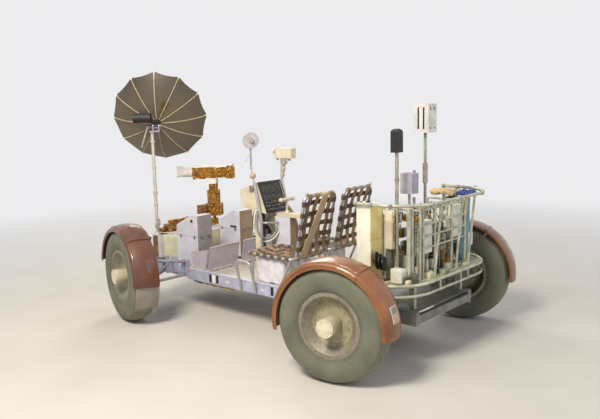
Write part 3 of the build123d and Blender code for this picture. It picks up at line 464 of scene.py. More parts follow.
dish = {"azimuth": -49.5, "elevation": 23.0, "pivot": mm(1450, 371, 1695), "side": -0.040, "standoff": 0.068,
        "radius": 0.456, "depth": 0.165, "ribs": 12, "netSkin": 0.0004, "hubRadius": 0.029, "feedHead": 0.4}
dishTurn = (Matrix.Translation(dish["pivot"]) @ Matrix.Rotation(math.radians(dish["azimuth"]), 4, "Z")
            @ Matrix.Translation((0, dish["side"], 0))
            @ Matrix.Rotation(math.radians(90 - dish["elevation"]), 4, "Y")
            @ Matrix.Translation((0, 0, dish["standoff"])))
dishBack = dishTurn.inverted()
bowlCurve = (dish["radius"] ** 2 + dish["depth"] ** 2) / (2 * dish["depth"])


def ribOrNet(point, normal):
    local = dishBack @ point
    below = (local - Vector((0, 0, bowlCurve))).length - bowlCurve
    return 1 if below > dish["netSkin"] and local.to_2d().length > dish["hubRadius"] else 0


def feedFinish(point, normal):
    local = dishBack @ point
    if local.z > dish["feedHead"]:
        return 2
    return 1 if local.x > 0.0 or local.z > 0.0 else 0


dress("dish_mesh", "net", "rib", choose=ribOrNet)
dress("dish_feed", "black", "mast", "rib", choose=feedFinish)

tvCamera = {"pivot": mm(1450, -371, 0), "heading": 41.0}
tvTurn = Matrix.Translation(tvCamera["pivot"]) @ Matrix.Rotation(math.radians(tvCamera["heading"]), 4, "Z")
tvBack = tvTurn.inverted()
dress("tv_camera", "gold", "whiteBlanket", "lens",
      choose=lambda point, normal: 0 if (tvBack @ point).x < split["hoodStartX"] else 1)
print("split finishes done")


# mesh makers that add to one bmesh, so that like bits are one piece

def facing(point, way):
    # a frame at point with its Z along way
    return Matrix.Translation(point) @ Vector(way).to_track_quat("Z", "Y").to_matrix().to_4x4()


def boxFrame(low, high):
    # takes a cube of size 1 to the box between two corners
    return Matrix.Translation((low + high) / 2) @ Matrix.Diagonal((*(high - low), 1))


edgeOn = Matrix(((0, 0, 1, 0), (1, 0, 0, 0), (0, 1, 0, 0), (0, 0, 0, 1)))    # stands a flat circle across X


def addTube(bm, start, end, radius, sides=16, taper=1.0):
    start, end = Vector(start), Vector(end)
    bmesh.ops.create_cone(bm, cap_ends=True, segments=sides, radius1=radius, radius2=radius * taper,
                          depth=(end - start).length, matrix=facing((start + end) / 2, end - start))


def addDome(bm, point, normal, radius, height, sides=8):
    # a rivet or bolt head: low cone with a flat crown
    middle = Vector(point) + Vector(normal) * (height * 0.45)
    bmesh.ops.create_cone(bm, cap_ends=True, segments=sides, radius1=radius, radius2=radius * 0.66,
                          depth=height, matrix=facing(middle, normal))


def addRing(bm, matrix, radius, thickness, count, sides):
    # a hoop of short tubes, flat in the matrix's own X and Y
    turns = [2 * math.pi * k / count for k in range(count + 1)]
    spots = [matrix @ Vector((math.cos(turn) * radius, math.sin(turn) * radius, 0)) for turn in turns]
    for first, second in zip(spots, spots[1:]):
        addTube(bm, first, second, thickness, sides)


def addBlock(bm, low, high, edge=0.003, matrix=None, steps=2):
    made = bmesh.ops.create_cube(bm, size=1.0, matrix=boxFrame(Vector(low), Vector(high)))
    edges = {side for vert in made["verts"] for side in vert.link_edges}
    bevel = bmesh.ops.bevel(bm, geom=list(edges), offset=edge, segments=steps, affect="EDGES", profile=0.5)
    if matrix is not None:
        verts = {vert for face in bevel["faces"] for vert in face.verts}
        bmesh.ops.transform(bm, matrix=matrix, verts=list(verts))


def griddedBox(bm, low, high, cuts):
    # a closed box whose faces are cut into a grid
    bmesh.ops.create_cube(bm, size=1.0, matrix=boxFrame(Vector(low), Vector(high)))
    bmesh.ops.subdivide_edges(bm, edges=bm.edges[:], cuts=cuts, use_grid_fill=True)


def smoothLine(points, steps=6):
    # a line that passes through its points without corners
    points = [Vector(point) for point in points]
    if len(points) < 3:
        return points
    line = []
    for index in range(len(points) - 1):
        before = points[max(index - 1, 0)]
        start, end = points[index], points[index + 1]
        after = points[min(index + 2, len(points) - 1)]
        for step in range(steps):
            t = step / steps
            bend = 2 * before - 5 * start + 4 * end - after
            swing = 3 * start - before - 3 * end + after
            line.append(0.5 * ((2 * start) + (end - before) * t + bend * t * t + swing * t * t * t))
    return line + [points[-1]]


def bridge(bm, rings, closed=True):
    # faces between each row of vertices and the next
    for first, second in zip(rings, rings[1:]):
        count = len(first)
        for k in range(count if closed else count - 1):
            bm.faces.new((first[k], first[(k + 1) % count], second[(k + 1) % count], second[k]))


def addPipe(bm, points, radius, sides=10, steps=6):
    line = smoothLine(points, steps)
    turns = [2 * math.pi * k / sides for k in range(sides)]
    rings = []
    side = None
    for index, point in enumerate(line):
        along = (line[min(index + 1, len(line) - 1)] - line[max(index - 1, 0)]).normalized()
        if side is None:
            side = along.orthogonal().normalized()
        side = (side - along * side.dot(along)).normalized()
        other = along.cross(side)
        rings.append([bm.verts.new(point + (side * math.cos(turn) + other * math.sin(turn)) * radius)
                      for turn in turns])
    bridge(bm, rings)
    bm.faces.new(list(reversed(rings[0])))
    bm.faces.new(rings[-1])


def addStrap(bm, points, across, width, thickness):
    # flat webbing along points, its width turned towards across
    rings = []
    for index, point in enumerate(points):
        along = (points[min(index + 1, len(points) - 1)] - points[max(index - 1, 0)]).normalized()
        flat = (across - along * across.dot(along)).normalized()
        face = along.cross(flat)
        rings.append([bm.verts.new(point + flat * (width / 2 * a) + face * (thickness / 2 * b))
                      for a, b in ((1, 1), (-1, 1), (-1, -1), (1, -1))])
    bridge(bm, rings)
    bm.faces.new(list(reversed(rings[0])))
    bm.faces.new(rings[-1])


def finishPiece(bm, name, body, finish, smooth=35.0):
    bmesh.ops.recalc_face_normals(bm, faces=bm.faces)
    mesh = bpy.data.meshes.new(name)
    bm.to_mesh(mesh)
    bm.free()
    piece = bpy.data.objects.new(name, mesh)
    scene.collection.objects.link(piece)
    mesh.materials.append(finishes[finish] if isinstance(finish, str) else finish)
    for face in mesh.polygons:
        face.use_smooth = True
    mesh.set_sharp_from_angle(angle=math.radians(smooth))
    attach(piece, body)
    return piece


trees = {}


def surfaceAt(name, start, way):
    # first point of a CAD piece's surface met from start, and its normal
    if name not in trees:
        mesh = nodes[name].data
        trees[name] = BVHTree.FromPolygons([vert.co for vert in mesh.vertices],
                                           [list(face.vertices) for face in mesh.polygons])
    point, normal, _, _ = trees[name].ray_cast(Vector(start), Vector(way).normalized())
    if point is None:
        return None, None
    if normal.dot(Vector(way)) > 0:
        normal = -normal
    return point, normal


# wheels: rivets on the rim, bolts on the disc and the cap

# columns: count, ring radius, head radius, head height, sides
wheelTrim = {"rimRivets": (48, 0.219, 0.0028, 0.0022, 6), "innerRivets": (30, 0.176, 0.0032, 0.0024, 6),
             "discBolts": (12, 0.118, 0.0065, 0.006, 6), "capScrews": (8, 0.050, 0.0035, 0.003, 8)}

for corner, fore, side, angle in corners:
    centre, out = wheelFrame(fore, side, angle)
    up = Vector((0, 0, 1))
    ahead = up.cross(out)
    bm = bmesh.new()
    for count, radius, head, height, sides in wheelTrim.values():
        for k in range(count):
            spoke = 2 * math.pi * (k + 0.5) / count
            ray = ahead * math.cos(spoke) + up * math.sin(spoke)
            point, normal = surfaceAt(f"wheel_disc_{corner}", centre + ray * radius + out * 0.3, -out)
            if point is not None:
                addDome(bm, point, normal, head, height, sides)
    finishPiece(bm, f"wheel_bolts_{corner}", f"wheel_{corner}", "bolt")
print("wheel trim made")


# fenders: blank striped patches, and beads along the edge, the ridge and the joint of the flap

patch = {"stripes": 5, "lift": 0.0014, "columns": 10, "thick": 0.0008, "weld": 0.0002, "castFrom": 0.62}
# columns: corner, first and last angle up from the front, inboard and outboard place across the fender
patchPlaces = [("rear_left", 158.0, 172.0, -0.055, 0.045), ("rear_right", 138.0, 152.0, -0.03, 0.06)]
patchFinishes = {"patch_white": "patchCream", "patch_red": "red", "patch_blue": "patchBlue"}


def fenderPoint(corner, sweep, across):
    _, fore, side, angle = next(row for row in corners if row[0] == corner)
    turn = math.radians(angle)
    centre, out = wheelFrame(fore, side, angle)
    ahead = Vector((math.cos(turn), math.sin(turn), 0))
    ray = ahead * math.cos(math.radians(sweep)) + Vector((0, 0, 1)) * math.sin(math.radians(sweep))
    return surfaceAt(f"fender_{corner}", centre + out * across + ray * patch["castFrom"], -ray)


def patchKey(band, column, bands):
    if band in (0, bands - 1) or column in (0, patch["columns"] - 1):
        return "patch_white"
    if band > bands * 0.5:
        return "patch_blue"
    return "patch_red" if band % 2 else "patch_white"


for corner, first, last, inner, outer in patchPlaces:
    rows = {key: bmesh.new() for key in patchFinishes}
    bands = patch["stripes"] * 4 + 1
    for band in range(bands):
        for column in range(patch["columns"]):
            quad = []
            for db, dc in ((0, 0), (0, 1), (1, 1), (1, 0)):
                sweep = last + (first - last) * (band + db) / bands
                across = outer + (inner - outer) * (column + dc) / patch["columns"]
                point, normal = fenderPoint(corner, sweep, across)
                if point is not None:
                    quad.append(point + normal * patch["lift"])
            if len(quad) == 4:
                bm = rows[patchKey(band, column, bands)]
                bm.faces.new([bm.verts.new(point) for point in quad])
    for key, finish in patchFinishes.items():
        bm = rows[key]
        bmesh.ops.remove_doubles(bm, verts=bm.verts, dist=patch["weld"])
        piece = finishPiece(bm, f"{key}_{corner}", f"steering_{corner}", finish, 60)
        thick = piece.modifiers.new("thick", "SOLIDIFY")
        thick.thickness = patch["thick"]
        thick.offset = 0.0

# the spans are the first and last angle of a fender's edge, up from the front
beads = {"edge": 0.1165, "ridge": 0.094, "inner": -0.101, "lip": 0.014, "seamFront": 128.0, "seamRear": 120.0,
         "flapLip": 183.4, "spanFront": (11.0, 183.0), "spanRear": (-9.0, 186.0)}


def crossLine(corner, sweep, lift):
    # a line across the fender, on its surface
    reach = beads["ridge"] + beads["lip"] - beads["inner"]
    spots = [fenderPoint(corner, sweep, beads["inner"] + step * reach / 20) for step in range(21)]
    return [point + normal * lift for point, normal in spots if point is not None]


def longLine(corner, first, last, across, lift):
    # a line along the fender, on its surface
    spots = [fenderPoint(corner, first + (last - first) * step / 72, across) for step in range(73)]
    return [point + normal * lift for point, normal in spots if point is not None]


for corner, fore, side, angle in corners:
    bm = bmesh.new()
    first, last = beads["spanFront"] if fore > 0 else beads["spanRear"]
    seam = beads["seamFront"] if fore > 0 else beads["seamRear"]
    lines = [(longLine(corner, first, last, beads["edge"], 0.001), 0.0045),
             (longLine(corner, first, last, beads["ridge"], 0.0006), 0.0032),
             (crossLine(corner, seam, 0.002), 0.0060)]
    if fore > 0:
        lines.append((crossLine(corner, beads["flapLip"], 0.0012), 0.0032))
    for line, radius in lines:
        addPipe(bm, line, radius, 8, 1)
    finishPiece(bm, f"fender_bead_{corner}", f"steering_{corner}", fenderTones[corner])
print("fender trim made")


# side rails: rivet rows, painted shade in the slots, blank plates and the torn blanket below

railTrim = {"low": 0.322, "high": 0.398, "from": -0.60, "to": 0.90, "gap": 0.055, "castFrom": 0.60,
            "rivet": 0.0042, "rivetHigh": 0.003}


def addRivets(bm, name, x, side, clear):
    # one rivet high and one low on the rail's outer face
    for height in (railTrim["low"], railTrim["high"]):
        point, normal = surfaceAt(name, (x, side * railTrim["castFrom"], height), (0, -side, 0))
        if point is not None and abs(point.y) > clear:
            addDome(bm, point, normal, railTrim["rivet"], railTrim["rivetHigh"], 8)


bm = bmesh.new()
for side in (1, -1):
    x = railTrim["from"]
    while x < railTrim["to"]:
        addRivets(bm, "centre_frame", x, side, 0.445)
        x += railTrim["gap"]
for side in (1, -1):
    for first, last, name in ((0.97, 1.46, "forward_frame"), (-1.44, -0.67, "aft_frame")):
        for k in range(int((last - first) / railTrim["gap"])):
            addRivets(bm, name, first + k * railTrim["gap"], side, 0.38)
finishPiece(bm, "rail_rivets", "chassis", "bolt")

# columns: middle x, middle z, half length, half height, finish
platePlaces = [(0.575, 0.360, 0.020, 0.036, "labelWhite"), (0.40, 0.356, 0.022, 0.012, "caseWhite"),
               (0.905, 0.388, 0.016, 0.010, "orangeTag"), (-0.30, 0.356, 0.030, 0.016, "labelWhite"),
               (-0.02, 0.352, 0.018, 0.012, "caseWhite")]
plateThick = 0.0012
for index, (x, z, halfLong, halfTall, finish) in enumerate(platePlaces):
    bm = bmesh.new()
    for side in (1, -1):
        point, normal = surfaceAt("centre_frame", (x, side * railTrim["castFrom"], z), (0, -side, 0))
        if point is not None and abs(point.y) > 0.44:
            addBlock(bm, (x - halfLong, point.y - plateThick, z - halfTall),
                     (x + halfLong, point.y + plateThick, z + halfTall), 0.0008)
    finishPiece(bm, f"rail_plate_{index}", "chassis", finish)

slots = {"places": (0.620, 0.530, -0.135), "halfLong": 0.0168, "low": 0.3232, "high": 0.3968, "face": 0.4478,
         "deep": 0.002}
# painted shade: thin dark plates stand in for the shade inside the rail's slots
bm = bmesh.new()
for side in (1, -1):
    for x in slots["places"]:
        y = side * slots["face"]
        inboard = y - side * slots["deep"]
        addBlock(bm, (x - slots["halfLong"], min(y, inboard), slots["low"]),
                 (x + slots["halfLong"], max(y, inboard), slots["high"]), 0.0005)
finishPiece(bm, "rail_slot_shade", "chassis", "slotShade")

blanket = {"from": 0.33, "to": 0.86, "top": 0.309, "drop": 0.045, "face": 0.432, "flare": 0.006,
           "ripple": 0.010, "leastTear": 0.15, "columns": 90, "rows": 8, "thick": 0.001}
for side in (1, -1):
    bm = bmesh.new()
    grid = []
    for column in range(blanket["columns"] + 1):
        x = blanket["from"] + (blanket["to"] - blanket["from"]) * column / blanket["columns"]
        tear = (0.55 + 0.45 * noise.noise(Vector((x * 22, side * 3.0, 0.4)))
                + 0.25 * noise.noise(Vector((x * 70, 1.7, side))))
        drop = blanket["drop"] * max(tear, blanket["leastTear"])
        line = []
        for row in range(blanket["rows"] + 1):
            share = row / blanket["rows"]
            ripple = blanket["ripple"] * noise.noise(Vector((x * 30, share * 3, side * 2.0)))
            line.append(bm.verts.new((x, side * (blanket["face"] + ripple + blanket["flare"] * share),
                                      blanket["top"] - drop * share)))
        grid.append(line)
    for first, second in zip(grid, grid[1:]):
        for row in range(blanket["rows"]):
            bm.faces.new((first[row], second[row], second[row + 1], first[row + 1]))
    label = "left" if side > 0 else "right"
    piece = finishPiece(bm, f"rail_blanket_{label}", "chassis", "tanFoil", 80)
    thick = piece.modifiers.new("thick", "SOLIDIFY")
    thick.thickness = blanket["thick"]
print("rail trim made")


# equipment boxes: lids' seams, latches, the small round port, and the battery's lids

# columns: x from and to, y from and to, z of the seam
boxes = [(0.885, 1.185, 0.170, 0.350, 0.686), (0.868, 1.158, -0.350, -0.170, 0.676)]
boxTrim = {"lip": 0.0016, "seam": 0.002, "latchLow": 0.668, "latchHigh": 0.700, "latchHalf": 0.012,
           "claspLow": 0.664, "claspHigh": 0.692, "lidHalf": 0.080}
bm = bmesh.new()
for x0, x1, y0, y1, z in boxes:
    lip, seam = boxTrim["lip"], boxTrim["seam"]
    addBlock(bm, (x0 - lip, y0 - lip, z - seam), (x1 + lip, y1 + lip, z + seam), 0.0008)
finishPiece(bm, "box_seams", "chassis", "greyBox")
bm = bmesh.new()
half = boxTrim["latchHalf"]
for x, _, y0, y1, _ in boxes:
    for share in (0.25, 0.75):
        y = y0 + (y1 - y0) * share
        addBlock(bm, (x - 0.006, y - half, boxTrim["latchLow"]),
                 (x - 0.0005, y + half, boxTrim["latchHigh"]), 0.0016)
        addTube(bm, (x - 0.008, y - 0.010, 0.676), (x - 0.008, y + 0.010, 0.676), 0.002, 8)
for y in (0.350, -0.170, -0.350):
    for x in (0.93, 1.12):
        addBlock(bm, (x - half, y - 0.004, boxTrim["claspLow"]),
                 (x + half, y + 0.005, boxTrim["claspHigh"]), 0.0016)
finishPiece(bm, "box_latches", "chassis", "bolt")
bm = bmesh.new()
addBlock(bm, (0.930, 0.3502, 0.806), (0.978, 0.3532, 0.858), 0.002)
finishPiece(bm, "port_plate", "chassis", "cream")
bm = bmesh.new()
addTube(bm, (0.955, 0.352, 0.832), (0.955, 0.362, 0.832), 0.013, 24)
addTube(bm, (0.995, -0.1702, 0.704), (0.915, -0.1702, 0.704), 0.010, 6)
finishPiece(bm, "port_lens", "chassis", "lens")
bm = bmesh.new()
for y in (-0.20, 0.0, 0.20):
    addBlock(bm, (1.190, y - boxTrim["lidHalf"], 0.6555), (1.400, y + boxTrim["lidHalf"], 0.6595), 0.0015)
finishPiece(bm, "battery_lids", "chassis", "boxWhite")

# the small antenna: a stub and rings on its face
headTurn = Matrix.Translation(lowGain["centre"]) @ Matrix.Rotation(math.radians(lowGain["heading"]), 4, "Z")
bm = bmesh.new()
addTube(bm, headTurn @ Vector((0.036, 0, 0)), headTurn @ Vector((0.050, 0, 0)), 0.017, 24)
for radius in lowGain["rings"]:
    addRing(bm, headTurn @ Matrix.Translation((0.0235, 0, 0)) @ edgeOn, radius, 0.0028, 36, 8)
finishPiece(bm, "low_gain_rings", "low_gain_antenna", "greyBox")
print("box trim made")


# crumpled foil on the relay shelf

# columns: piece, low corner, high corner, finish, cuts, push, seed
relayFoils = [("relay_foil_left", (1.418, 0.190, 0.6545), (1.486, 0.335, 0.712), "copper", 16, 0.016, 1),
              ("relay_foil_middle", (1.420, -0.080, 0.7405), (1.482, 0.225, 0.775), "gold", 18, 0.014, 2),
              ("relay_foil_right", (1.430, -0.310, 0.7405), (1.482, -0.240, 0.790), "tanFoil", 12, 0.014, 3)]
for name, low, high, finish, cuts, push, seed in relayFoils:
    bm = bmesh.new()
    griddedBox(bm, low, high, cuts)
    middle = (Vector(low) + Vector(high)) / 2
    for vert in bm.verts:
        way = (vert.co - middle).normalized()
        place = vert.co * 34 + Vector((seed * 3.1, 0, 0))
        depth = abs(noise.noise(place)) + 0.5 * abs(noise.noise(place * 2.3)) + 0.2 * noise.noise(place * 6)
        vert.co -= way * push * depth * 1.6
    finishPiece(bm, name, "chassis", finish, 28)
print("foil made")


# display console: dials, switch rows and guards on the face painted dark as shade, and fittings on its sides

console = {"ring": 0.0022, "ringLift": 0.0025, "markLift": 0.0019, "handLift": 0.0022, "marks": 11,
           "rows": (0.098, 0.066, 0.034), "switches": 8, "firstSwitch": -0.109, "switchGap": 0.031,
           "plateHalfLong": 0.125, "plateHalfHigh": 0.013, "guard": 0.0095}
# columns: across, rise, radius
dials = [(-0.078, 0.222, 0.034), (0.0, 0.222, 0.034), (0.078, 0.222, 0.034), (-0.098, 0.142, 0.020),
         (-0.049, 0.142, 0.020), (0.0, 0.142, 0.020), (0.049, 0.142, 0.020), (0.098, 0.142, 0.020)]
dialTurn = Matrix((Vector((0, 1, 0)), dialUp, dialOut)).transposed().to_4x4()


def onDial(across, rise, lift=0.0):
    base = dial["foot"] + Vector((0, across, 0)) + dialUp * rise
    return Matrix.Translation(base + dialOut * (lift - dial["depth"])) @ dialTurn


def addHand(bm, turn, angle, inner, outer, lift, radius):
    # a thin straight mark from the dial's inner to its outer radius
    way = Vector((math.cos(angle), math.sin(angle), 0))
    rise = Vector((0, 0, lift))
    addTube(bm, turn @ (way * inner + rise), turn @ (way * outer + rise), radius, 4)


rimMesh, faceMesh, markMesh, switchMesh, plateMesh = (bmesh.new() for _ in range(5))
for across, rise, radius in dials:
    turn = onDial(across, rise)
    addRing(rimMesh, onDial(across, rise, console["ringLift"]), radius, console["ring"], 28, 6)
    addTube(faceMesh, turn @ Vector((0, 0, 0)), turn @ Vector((0, 0, 0.0016)), radius, 28)
    for k in range(console["marks"]):
        inner = radius * (0.62 if k % 5 == 0 else 0.72)
        addHand(markMesh, turn, math.radians(225 - 27 * k), inner, radius * 0.86, console["markLift"], 0.0006)
    hand = math.radians(120 - 40 * across / 0.1)
    addHand(markMesh, turn, hand, 0, radius * 0.7, console["handLift"], 0.0008)
for row, rise in enumerate(console["rows"]):
    halfLong, halfHigh = console["plateHalfLong"], console["plateHalfHigh"]
    addBlock(plateMesh, (-halfLong, -halfHigh, 0.0), (halfLong, halfHigh, 0.0012), 0.0004, onDial(0, rise))
    for k in range(console["switches"]):
        turn = onDial(console["firstSwitch"] + console["switchGap"] * k, rise)
        addTube(switchMesh, turn @ Vector((0, 0, 0.001)), turn @ Vector((0, 0, 0.004)), 0.0052, 12)
        lean = 0.006 if (k + row) % 3 else -0.006
        addTube(switchMesh, turn @ Vector((0, 0, 0.003)), turn @ Vector((0, lean, 0.017)), 0.0022, 8)
        if (k + row) % 4 == 0:
            for middle in (-console["guard"], console["guard"]):
                addBlock(switchMesh, (middle - 0.0008, -0.010, 0.0), (middle + 0.0008, 0.010, 0.016),
                         0.0004, turn)
finishPiece(rimMesh, "dial_rims", "chassis", "rackDark", 60)
# painted shade: the dial faces share the face's near black
finishPiece(faceMesh, "dial_faces", "chassis", "panelShade")
finishPiece(markMesh, "dial_marks", "chassis", "greyBox")
finishPiece(switchMesh, "console_switches", "chassis", "bolt")
finishPiece(plateMesh, "switch_plates", "chassis", "black")
bm = bmesh.new()
for side in (1, -1):
    addBlock(bm, (0.335, side * 0.1502 - 0.001, 1.120), (0.385, side * 0.1502 + 0.012 * side, 1.175), 0.003)
    for k in range(9):
        for z in (0.975, 1.12):
            point, normal = surfaceAt("display_console", (0.26 + 0.026 * k, side * 0.3, z), (0, -side, 0))
            if point is not None:
                addDome(bm, point, normal, 0.0032, 0.0022, 8)
finishPiece(bm, "console_side_fittings", "chassis", "drive")
print("console made")


# seats: woven webbing over the tubes, two layers that pass over and under

webbing = {"strap": 0.046, "narrower": 0.86, "thick": 0.0022, "lift": 0.0030, "panSag": 0.016,
           "backSag": 0.012, "tube": 0.0130, "clear": 0.0008, "tones": ("webbingPale", "webbing")}


def wovenPanel(name, body, origin, longWay, wideWay, length, width, longCount, wideCount, sag, hidden):
    # origin is one corner between the tubes; straps run long and wide and wrap the tubes at both ends
    faceWay = longWay.cross(wideWay).normalized()
    grip = webbing["tube"] + webbing["thick"] * 0.8
    outset = webbing["tube"] + webbing["clear"]
    layers = ((longWay, wideWay, length, width, longCount, wideCount),
              (wideWay, longWay, width, length, wideCount, longCount))
    for layer, (alongWay, acrossWay, reach, span, count, other) in enumerate(layers):
        bm = bmesh.new()
        for k in range(count):
            middle = (k + 0.5) * span / count
            start = origin + acrossWay * middle
            line = []
            for turn in range(7):    # round the first tube, from below to its top
                a = math.radians(-80 + turn * 28)
                line.append(start - alongWay * (outset + grip * math.cos(a)) + faceWay * (grip * math.sin(a)))
            steps = other * 6
            for step in range(steps + 1):
                share = step / steps
                over = math.cos(math.pi * (share * other - 0.5) + math.pi * (k % 2) + math.pi * layer)
                hollow = -sag * (1 - (2 * share - 1) ** 2) * (1 - (2 * middle / span - 1) ** 2 * 0.7)
                settle = min(min(share, 1 - share) * other / 0.8, 1.0)
                height = grip * (1 - settle) * 0.9 + settle * (webbing["lift"] * over + hollow)
                line.append(start + alongWay * (reach * share) + faceWay * height)
            for turn in range(7):    # round the second tube, from its top to below
                a = math.radians(88 - turn * 28)
                line.append(start + alongWay * (reach + outset + grip * math.cos(a))
                            + faceWay * (grip * math.sin(a)))
            strap = webbing["strap"] * (1 if layer == 0 else webbing["narrower"])
            addStrap(bm, line, acrossWay, strap, webbing["thick"])
        way = "long" if layer == 0 else "wide"
        finishPiece(bm, f"{name}_{way}", body, webbing["tones"][layer], 50)
    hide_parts(*hidden)


seat = {"innerY": 0.055, "width": 0.385, "panFront": 0.150, "panRear": -0.400, "rearBar": 0.040,
        "height": 0.650, "backHigh": 0.490, "backInset": 0.004, "lean": 12.0, "hingeX": -0.400,
        "hingeZ": 0.686}
lean = math.radians(seat["lean"])
upWay = Vector((-math.sin(lean), 0, math.cos(lean)))
backWay = Vector((-math.cos(lean), 0, -math.sin(lean)))
for label, side in (("left", 1), ("right", -1)):
    y0 = min(side * seat["innerY"], side * (seat["innerY"] + seat["width"]))
    tube = webbing["tube"]
    origin = Vector((seat["panRear"] + seat["rearBar"] + tube, y0 + tube, seat["height"]))
    length = seat["panFront"] - seat["panRear"] - seat["rearBar"] - 2 * tube
    wovenPanel(f"{label}_pan_webbing", "chassis", origin, Vector((1, 0, 0)), Vector((0, 1, 0)), length,
               seat["width"] - 2 * tube, 4, 6, webbing["panSag"], ["pan_webbing"] if side > 0 else [])
    foot = Vector((seat["hingeX"], y0 + seat["backInset"] + tube, seat["hingeZ"])) + upWay * 0.0135
    wovenPanel(f"{label}_back_webbing", f"{label}_back", foot, upWay, Vector((0, 1, 0)),
               seat["backHigh"] - 2 * tube, seat["width"] - 2 * seat["backInset"] - 2 * tube, 4, 5,
               webbing["backSag"], [f"{label}_back_webbing"])
print("webbing made")


# padded bags: a closed cloth shell blown up a little larger than it fits, so that it folds

cushion = {"corner": 0.030, "crease": 0.006, "skin": 0.0004, "frames": 18, "quality": 5, "mass": 0.25,
           "tension": 18, "compression": 14, "bending": 0.25}


def blowUp(piece, pressure, slack):
    # the places of the shell's points once the cloth has settled
    cloth = piece.modifiers.new("blow", "CLOTH")
    cloth.settings.quality = cushion["quality"]
    cloth.settings.mass = cushion["mass"]
    cloth.settings.tension_stiffness = cushion["tension"]
    cloth.settings.compression_stiffness = cushion["compression"]
    cloth.settings.bending_stiffness = cushion["bending"]
    cloth.settings.shrink_min = -slack
    cloth.settings.use_pressure = True
    cloth.settings.uniform_pressure_force = pressure
    cloth.settings.effector_weights.gravity = 0.0
    cloth.point_cache.frame_start = 1
    cloth.point_cache.frame_end = cushion["frames"]
    for step in range(1, cushion["frames"] + 1):
        scene.frame_set(step)
    graph = bpy.context.evaluated_depsgraph_get()
    blown = bpy.data.meshes.new_from_object(piece.evaluated_get(graph))
    piece.modifiers.clear()
    scene.frame_set(1)
    return [vert.co.copy() for vert in blown.vertices]


def puffBag(name, low, high, finish, hidden, fill, voxel, pressure, slack, cap, seed, taper=0.0, crumple=0.0):
    low, high = Vector(low), Vector(high)
    middle = (low + high) / 2
    size = high - low
    bm = bmesh.new()
    inset = Vector((0.012, 0.012, 0.008))
    addBlock(bm, low + inset, high - inset, cushion["corner"], steps=4)
    for vert in bm.verts:
        share = (vert.co.z - low.z) / size.z
        vert.co.x = middle.x + (vert.co.x - middle.x) * (1 - taper * share)
        vert.co.y = middle.y + (vert.co.y - middle.y) * (1 - taper * share)
    piece = finishPiece(bm, name, "chassis", finish, 80)
    even = piece.modifiers.new("even", "REMESH")
    even.mode = "VOXEL"
    even.voxel_size = voxel
    graph = bpy.context.evaluated_depsgraph_get()
    mesh = bpy.data.meshes.new_from_object(piece.evaluated_get(graph))
    piece.modifiers.clear()
    piece.data = mesh
    rest = [vert.co.copy() for vert in mesh.vertices]
    moved = blowUp(piece, pressure, slack)
    for vert, start, end in zip(mesh.vertices, rest, moved):
        shift = end - start
        if shift.length > cap:
            shift *= cap / shift.length
        way = (start - middle).normalized()
        crease = noise.noise(Vector((start.x * 13, start.y * 13, start.z * 7 + seed)))
        place = start + shift + way * cushion["crease"] * crease
        if crumple:
            fold = abs(noise.noise(start * 24 + Vector((seed, 0, 0)))) + 0.6 * abs(noise.noise(start * 52))
            place -= way * crumple * 0.4 * fold
            place.z -= crumple * fold * (1.0 if start.z > middle.z else -0.3)
        for axis in range(3):
            place[axis] = min(max(place[axis], low[axis] + cushion["skin"]), high[axis] - cushion["skin"])
        vert.co = place
    for face in mesh.polygons:
        face.use_smooth = True
    soft = piece.modifiers.new("soft", "SUBSURF")
    soft.levels = 1
    soft.render_levels = 1
    mesh.materials.clear()
    mesh.materials.append(finishes[finish])
    if hidden:
        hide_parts(*hidden)


rearBag = {"fill": 0.6, "voxel": 0.013, "pressure": 3.0, "slack": 0.06, "cap": 0.018, "seed": 3.0,
           "taper": 0.03}
seatBag = {"fill": 0.45, "voxel": 0.012, "pressure": 2.0, "slack": 0.16, "cap": 0.022}
rearBagLow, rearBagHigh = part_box("rear_bag")
puffBag("teal_sample_bag", rearBagLow, rearBagHigh, "bagTeal", ["rear_bag"], **rearBag)
for label, side in (("left", 1), ("right", -1)):
    inner, outer = seat["innerY"] + 0.025, seat["innerY"] + seat["width"] - 0.024
    low = Vector((-0.240, min(side * inner, side * outer), 0.4103))
    high = Vector((0.070, max(side * inner, side * outer), 0.630))
    puffBag(f"{label}_seat_bag", low, high, "bagWhite", ["under_seat_bags"] if side > 0 else [],
            seed=5.0 + side, **seatBag)
print("bags made")


# the teal bag's blank label and straps

bm = bmesh.new()
point, normal = surfaceAt("rear_bag", (-1.7, -0.520, 0.80), (1, 0, 0))
addBlock(bm, (point.x - 0.0035, -0.560, 0.735), (point.x + 0.010, -0.490, 0.835), 0.0015)
finishPiece(bm, "bag_label", "chassis", "labelWhite")
bm = bmesh.new()
face = rearBagLow.x - 0.0015
rearStrap = [Vector((face, -0.47, 1.12)), Vector((face - 0.001, -0.44, 1.00)),
             Vector((face - 0.001, -0.41, 0.90))]
addStrap(bm, rearStrap, Vector((0, 1, 0.3)), 0.030, 0.002)
face = rearBagHigh.y + 0.002
leftStrap = [Vector((-1.36, face, 1.12)), Vector((-1.30, face + 0.001, 0.96)), Vector((-1.215, face, 0.78))]
addStrap(bm, leftStrap, Vector((1, 0, 0.4)), 0.034, 0.002)
finishPiece(bm, "bag_straps", "chassis", "creamCloth")
print("bag trim made")


# the cream lap belt that hangs over the left seat back

